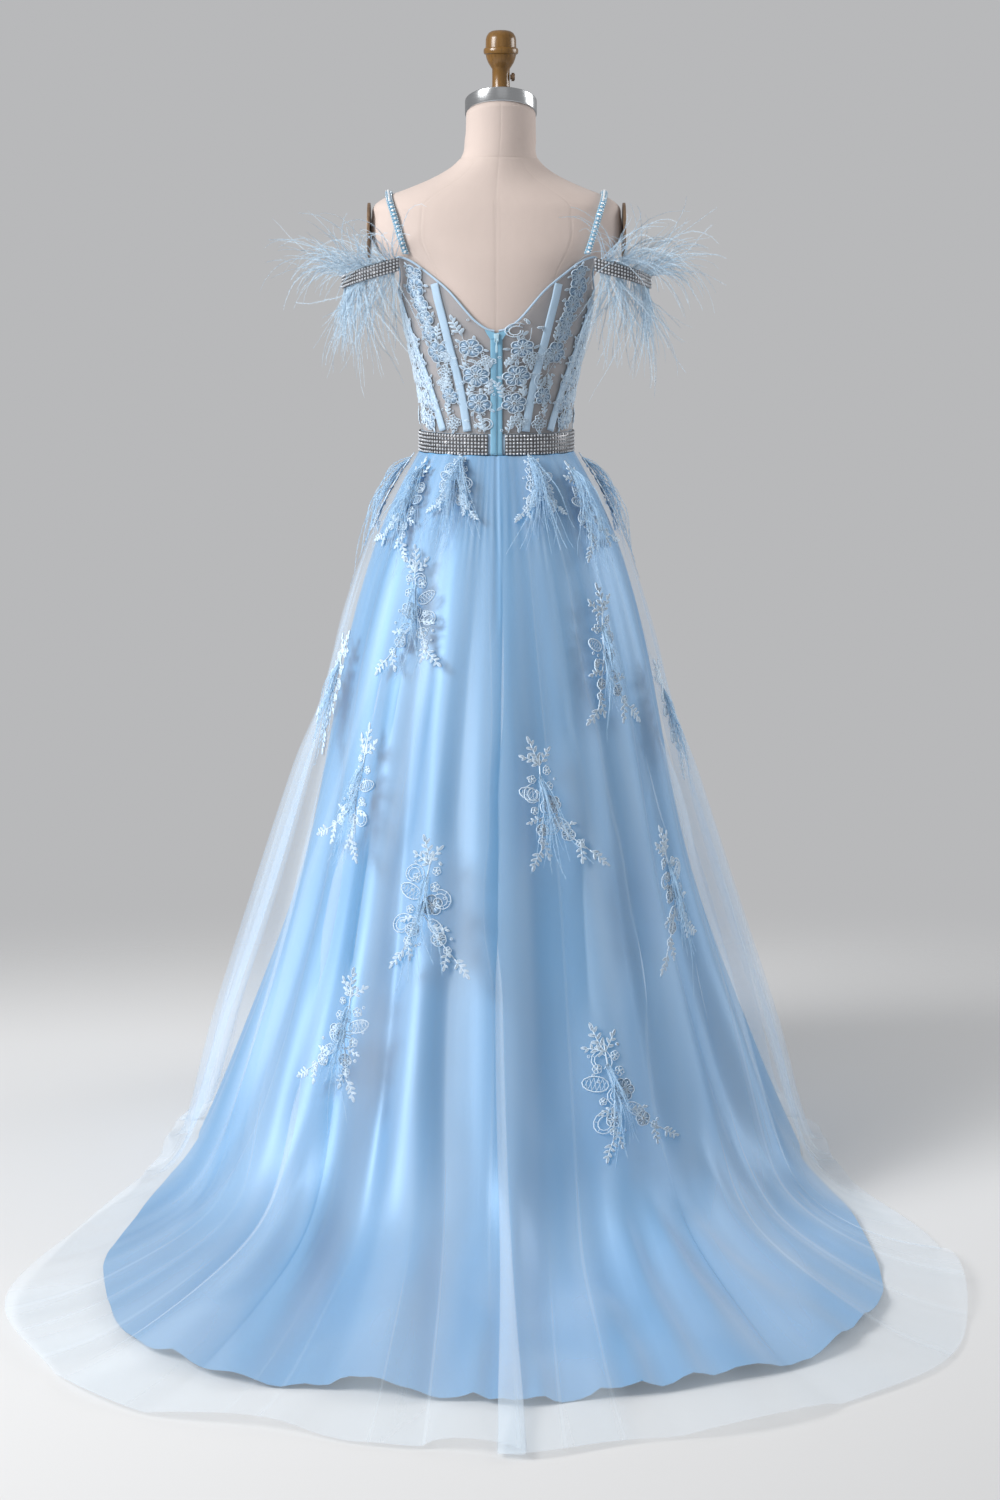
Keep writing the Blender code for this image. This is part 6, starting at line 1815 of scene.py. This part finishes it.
class GOWN_OT_zip(GownStep):
    """The zip's tapes, teeth, slider and pull tab"""
    bl_idname = "gown.zip"
    bl_label = "Zip"

    def make(self, sizes, colours):
        heights = np.linspace(ZIP_TOP, ZIP_BOTTOM, BODY_STEPS)
        backs = zip_back(heights)
        for side, end in SIDES:
            middle = side * (0.15 * MM + TAPE_WIDTH / 2)
            line = np.stack([np.full(BODY_STEPS, middle), 0.8 * MM - backs, heights], axis=1)
            look = tape_look(colours)
            tape = swept(f"zip_cloth_{end}", line, (0, -1.0, 0), ACROSS, soft_bar(TAPE_WIDTH, 0.9 * MM), look)
            tie(tape, [f"zip_tape_{end}"])
            fold = self.fold(side, end, look)
            teeth = self.teeth(side, end, look)
        self.slider(nylon_look(colours))
        self.pull(nylon_look(colours))

    def fold(self, side, end, look):
        """The tape's upper end, folded outwards under the neckline."""
        back = float(zip_back(ZIP_TOP))
        inner, outer = np.array((  # across in mm, height, and how far in in mm, for each row
            ((3.0, 1.2412, 0.4), (3.0, 1.2372, 0.4), (3.0, 1.2332, 0.4)),
            ((17.5, 1.2452, 2.3), (13.5, 1.2380, 1.6), (8.8, 1.2310, 0.8)),
        ))
        across = np.arange(6)[:, None] / 5
        x, z, inwards = np.moveaxis(inner[:, None] + (outer - inner)[:, None] * across, 2, 0)
        grid = np.stack([side * x * MM, -(back + 0.5 * MM - 0.3 * inwards * MM), z], axis=2)
        made = cloth(f"zip_fold_{end}", grid if side > 0 else grid[:, ::-1], look, 0.5 * MM)
        return tie(made)

    def teeth(self, side, end, look):
        """The turns of the coil along the tape's edge, each a small block."""
        points, faces = [], []
        heights = np.arange(ZIP_BOTTOM + 1 * MM, 1.2285, 1.5 * MM)
        for k, height in enumerate(heights):
            back = float(zip_back(height))
            for x in (0.12, 1.15):
                for y in (0.05, 0.75):
                    for z in (-0.45, 0.45):
                        points.append((side * x * MM, -(back + y * MM), height + z * MM))
            faces += [[8 * k + i for i in face] for face in
                      ((0, 1, 3, 2), (4, 6, 7, 5), (0, 4, 5, 1), (2, 3, 7, 6), (0, 2, 6, 4), (1, 5, 7, 3))]
        made = mesh_object(f"zip_teeth_{end}", points, faces, look, smooth_shade=False, outwards=True)
        return tie(made)

    def slider(self, look):
        """The slider's plate with two ears and the pin between them."""
        face = float(zip_back(PULL_PIVOT_HEIGHT)) + 0.8 * MM
        low = ZIP_TOP - 14 * MM
        plate = block((8 * MM, 3 * MM, 13 * MM), (0, -face - 1.5 * MM, low + 6.5 * MM))
        chosen(plate, lambda middle, normal: normal.z < -0.9)
        bpy.ops.transform.resize(value=(0.62, 0.9, 1))
        bpy.ops.object.mode_set(mode="OBJECT")
        bevelled(plate, 0.7, 3)
        ears = []
        for side in (-1, 1):
            ear = block((1.2 * MM, 4.6 * MM, 4 * MM), (side * 2.6 * MM, -face - 3.8 * MM, PULL_PIVOT_HEIGHT))
            bevelled(ear, 0.4, 2)
            ears.append(ear)
        pin = cylinder(0.45 * MM, 5.2 * MM, (0, -face - 4.6 * MM, PULL_PIVOT_HEIGHT), 16, SIDEWAYS)
        join_to(plate, [*ears, pin])
        finished("slider", look, ["zip_slider"])

    def pull(self, look):
        """The pull tab, hanging down from the barrel round the slider's pin."""
        pivot = -(float(zip_back(PULL_PIVOT_HEIGHT)) + 5.4 * MM)
        tab = block((2.0 * MM, 1.0 * MM, 6.0 * MM), (0, pivot, PULL_PIVOT_HEIGHT - 3.6 * MM))
        chosen(tab, lambda middle, normal: normal.z < -0.9)
        extruded(-2.4 * MM, (1.65, 1))
        extruded(-7.6 * MM)
        extruded(-1.3 * MM, (0.6, 1))
        bpy.ops.object.mode_set(mode="OBJECT")
        bevelled(tab, 0.25, 2)
        barrel = cylinder(1.1 * MM, 3.4 * MM, (0, pivot, PULL_PIVOT_HEIGHT), 24, SIDEWAYS)
        join_to(tab, [barrel])
        finished("pull_tab", look, ["zip_pull"], "zip_pull")


# ---------------------------------------------------------------- skirt, lace and feathers


def lace_looks(colours):
    """The looks of the cords, the stones and the net, in the order of Needlework's numbers."""
    return [lace_look(colours), crystal_look(), lace_net_look(colours)]


class GOWN_OT_satin(GownStep):
    """The satin skirt in three panels, with its folds and train"""
    bl_idname = "gown.satin"
    bl_label = "Satin Skirt"

    def make(self, sizes, colours):
        grid = satin_grid(sizes.satin_columns, SKIRT_ROWS)
        for name, part, outs, begin in skirt_parts(grid):
            made = cloth(f"satin_skirt_{name}", part, satin_look(colours), SATIN_THICKNESS, begin, outs)
            tie(made, [f"satin_{name}"])


class GOWN_OT_tulle(GownStep):
    """The tulle over-skirt in three panels, gathered at the waist, with its raw hem"""
    bl_idname = "gown.tulle"
    bl_label = "Tulle Skirt"

    def make(self, sizes, colours):
        grid = tulle_grid(sizes.tulle_columns, SKIRT_ROWS, TULLE_HEM_ROWS)
        for name, part, outs, begin in skirt_parts(grid):
            made = cloth(f"tulle_skirt_{name}", part, tulle_look(colours), begin=begin, outs=outs)
            tie(made, [f"tulle_{name}"])


class GOWN_OT_bodice_lace(GownStep):
    """The corded lace sewn over the mesh panels"""
    bl_idname = "gown.bodice_lace"
    bl_label = "Bodice Lace"

    def make(self, sizes, colours):
        looks = lace_looks(colours)
        for side, end in SIDES:
            for part, cells in BODICE_LACE.items():
                draw = random.Random(f"{part}{end}")
                work = Needlework()
                middle, level, _ = cells[len(cells) // 2]
                radius = float(np.linalg.norm(body(level, middle)[:2]))
                centres = []
                for angle, height, reach in cells:
                    centre = np.array((math.radians(angle - middle) * radius, level - height))
                    centres.append(centre)
                    lace_cell(work, centre, reach * MM, BODICE_CORD * sizes.lace_cord, draw)
                lace_bridges(work, centres, sizes.lace_cord, BRIDGE_REACH)

                def place(x, y, high):
                    angle = middle + np.degrees(x / radius)
                    height = np.maximum(level - y, BELT_TOP - 2 * MM)
                    height = np.minimum(height, top_edge(angle) + 9 * MM)
                    over = body_out(height, side * angle) * (BODICE_OUT + 1.1 * MM + high)[:, None]
                    return body(height, side * angle) + over

                made = work.made(f"bodice_lace_{part}_{end}", place, looks)
                nodes = [f"lace_{part}_{end}"] if part in ("back", "side_back") else []
                tie(made, nodes)


class GOWN_OT_skirt_lace(GownStep):
    """The lace sprigs on the tulle and the feathers that hang from them"""
    bl_idname = "gown.skirt_lace"
    bl_label = "Skirt Sprigs"

    def make(self, sizes, colours):
        looks = lace_looks(colours)
        for table, lift, length, fan, puff, tufts in (
                (SKIRT_SPRIGS, 1.6 * MM, 100 * MM, 20, 1.0, ((0.30, 0.55), (0.50, 0.35))),
                (WAIST_SPRIGS, 3.2 * MM, 118 * MM, 26, 2.0, ((0.06, 0.95), (0.34, 0.70)))):
            for name, angle, height, long, spread, lean, turn, solid in table:
                draw = random.Random(name)
                place = CARRIER.placer(angle, height, lift)
                work = Needlework()
                sprig_lace(work, long, spread, lean, turn, SPRIG_CORD * sizes.lace_cord, draw)
                lace = work.made(f"sprig_{name}", place, looks)
                plumage = Plumage(draw)
                for s, part in tufts:
                    foot = turned((lean * math.sin(math.pi * s), (s - 0.5) * long), turn)
                    feather_tuft(plumage, place, foot, int(sizes.tuft_feathers * part), length, fan,
                                 -turn * 0.6 + draw.uniform(-8, 8), puff, draw)
                tuft = plumage.made(f"tuft_{name}", feather_look(colours, "skirt_feather", 1.6))
                tie(lace, [f"lace_{name}"] if solid else [])
                tie(tuft)


class GOWN_OT_sleeve_feathers(GownStep):
    """The ostrich feathers above and below each arm band"""
    bl_idname = "gown.sleeve_feathers"
    bl_label = "Sleeve Feathers"

    def make(self, sizes, colours):
        for side, end in SIDES:
            draw = random.Random(40 + side)
            plumage = Plumage(draw)
            line, outs = arm_line(side, BAND_STEPS)
            ahead = unit(np.gradient(line, axis=0))
            clumps = [(draw.uniform(0.04, 0.96), draw.gauss(0, 0.30), draw.uniform(0.75, 1.2))
                      for _ in range(30)]
            for _ in range(sizes.sleeve_feathers):
                t, lean, share = draw.choice(clumps)
                at = int(min(max(t + draw.gauss(0, 0.015), 0.02), 0.98) * (BAND_STEPS - 1))
                path = self.path(draw, line[at], outs[at], ahead[at], side, lean, share)
                plumage.strand(path, outs[at], 0.48 * MM, draw.choice((1.8, 3.0, 4.2)) * MM, 2.6 * MM)
            made = plumage.made(f"sleeve_feathers_{end}", feather_look(colours))
            tie(made, [f"feather_trim_{end}"])

    def path(self, draw, foot, out, sway, side, lean, share):
        """A strand's line: one that stands up and curls over the band, or one that hangs from it."""
        upper = draw.random() < 0.48
        root = foot - out * draw.uniform(1.5, 3.5) * MM + UP * (8.5 if upper else -8.5) * MM
        away = np.array((side, 0, 0)) * draw.uniform(0.1, 0.8)
        if upper:
            heading = UP * draw.uniform(0.30, 1.0) + out * draw.uniform(0.2, 0.9) + away
            length = draw.uniform(62, 142) * share * MM
            fall = draw.uniform(0.10, 0.55)
        else:
            heading = -UP * draw.uniform(0.9, 1.2) + out * draw.uniform(-0.05, 0.20) + away * 0.08
            length = draw.uniform(60, 135) * share * MM * (1.35 if draw.random() < 0.10 else 1.0)
            fall = draw.uniform(0.15, 0.45)
        way = unit(heading + sway * (lean + draw.uniform(-0.15, 0.15)))
        curl = unit(np.cross(way, out)) * draw.gauss(0, 0.10)
        path, steps = [root], 9
        for step in range(steps):
            wobble = np.array([draw.gauss(0, 0.09) for _ in range(3)])
            way = unit(way - UP * fall * step / steps + curl * (1 + 0.8 * math.sin(step)) + wobble)
            path.append(path[-1] + way * length / steps)
        return path


# ---------------------------------------------------------------- the stage

LIGHTS = (  # name, place, target, size, power, spread in degrees
    ("key", (-3.4, -2.0, 3.0), (-0.30, -0.45, 0.5), 2.0, 68, 90),
    ("front", (0.4, -5.2, 2.6), (0, -0.1, 0.9), 3.0, 5, 180),
    ("right", (2.9, 0.7, 1.8), (0.2, 0, 0.7), 1.6, 17, 100),
    ("top", (-0.8, 0.0, 4.2), (0, 0.0, 0), 3.0, 5, 180),
)
AIR_LIGHT, AIR_SEEN = 0.42, 0.60  # strength of the air as light and as backdrop
SENSOR = 36
FOCAL_LENGTH, CAMERA_SHIFT = 2641 / 1500, 3.5 / 1500  # in picture heights
CAMERA_PLACE = (0, -4.0, 1.40)
CAMERA_DOWN = 11.32  # degrees
FLOOR_SIZE, FLOOR_PLACE = 14, (0, -5.5, 0)


class GOWN_OT_stage(GownStep):
    """A pale paper floor, soft lights and the camera"""
    bl_idname = "gown.stage"
    bl_label = "Stage"

    def make(self, sizes, colours):
        clear_choice()
        bpy.ops.mesh.primitive_plane_add(size=FLOOR_SIZE, location=FLOOR_PLACE)
        floor = applied()
        floor.name = "paper_floor"
        floor.data.materials.append(floor_look())
        for name, place, target, size, power, spread in LIGHTS:
            lamp = bpy.data.lights.new(name, "AREA")
            lamp.spread, lamp.size, lamp.energy = math.radians(spread), size, power
            way = Vector(target) - Vector(place)
            self.put(name, lamp, place, way.to_track_quat("-Z", "Y").to_euler())
        world = bpy.data.worlds.new("studio_air")
        world.use_nodes = True
        air = world.node_tree.nodes["Background"].inputs
        air["Color"].default_value = (0.80, 0.805, 0.82, 1)
        seen = node(world.node_tree, "ShaderNodeLightPath", "Is Camera Ray", {})
        strength = node(world.node_tree, "ShaderNodeMapRange", "Result", {
            "Value": seen, "To Min": AIR_LIGHT, "To Max": AIR_SEEN})
        world.node_tree.links.new(strength, air["Strength"])
        bpy.context.scene.world = world
        bpy.context.scene.view_settings.view_transform = "Standard"
        camera = bpy.data.cameras.new("camera")
        camera.sensor_fit = "AUTO"
        camera.sensor_width = SENSOR
        camera.lens = FOCAL_LENGTH * SENSOR
        camera.shift_x = CAMERA_SHIFT
        camera.clip_end = 60
        bpy.context.scene.camera = self.put(
            "camera", camera, CAMERA_PLACE, (math.pi / 2 - math.radians(CAMERA_DOWN), 0, 0))

    def put(self, name, data, place, turn):
        """Sets up a lamp or the camera."""
        held = bpy.data.objects.new(name, data)
        held.location, held.rotation_euler = place, turn
        bpy.context.scene.collection.objects.link(held)
        return held


STEPS = (
    GOWN_OT_stage, GOWN_OT_form_torso, GOWN_OT_neck_cap, GOWN_OT_finial, GOWN_OT_arm_plates, GOWN_OT_stand,
    GOWN_OT_bodice, GOWN_OT_boning, GOWN_OT_straps, GOWN_OT_arm_bands, GOWN_OT_belt, GOWN_OT_zip,
    GOWN_OT_satin, GOWN_OT_tulle, GOWN_OT_bodice_lace, GOWN_OT_skirt_lace, GOWN_OT_sleeve_feathers,
)


class GOWN_PT_panel(bpy.types.Panel):
    """Lists the gown's pieces, sizes and colours"""
    bl_idname = "GOWN_PT_panel"
    bl_label = "Ball Gown"
    bl_space_type = "VIEW_3D"
    bl_region_type = "UI"
    bl_category = "Gown"

    def draw(self, context):
        layout = self.layout
        for group in (context.scene.gown_sizes, context.scene.gown_colours):
            for name in group.bl_rna.properties.keys():
                if name not in ("rna_type", "name"):
                    layout.prop(group, name)
        for step in STEPS:
            layout.operator(step.bl_idname)


CLASSES = (GownSizes, GownColours, *STEPS, GOWN_PT_panel)


def register():
    for one in CLASSES:
        bpy.utils.register_class(one)
    bpy.types.Scene.gown_sizes = bpy.props.PointerProperty(type=GownSizes)
    bpy.types.Scene.gown_colours = bpy.props.PointerProperty(type=GownColours)


def unregister():
    del bpy.types.Scene.gown_colours
    del bpy.types.Scene.gown_sizes
    for one in reversed(CLASSES):
        bpy.utils.unregister_class(one)


def main():
    register()
    for step in STEPS:
        group, name = step.bl_idname.split(".")
        getattr(getattr(bpy.ops, group), name)()


if __name__ == "__main__":
    main()
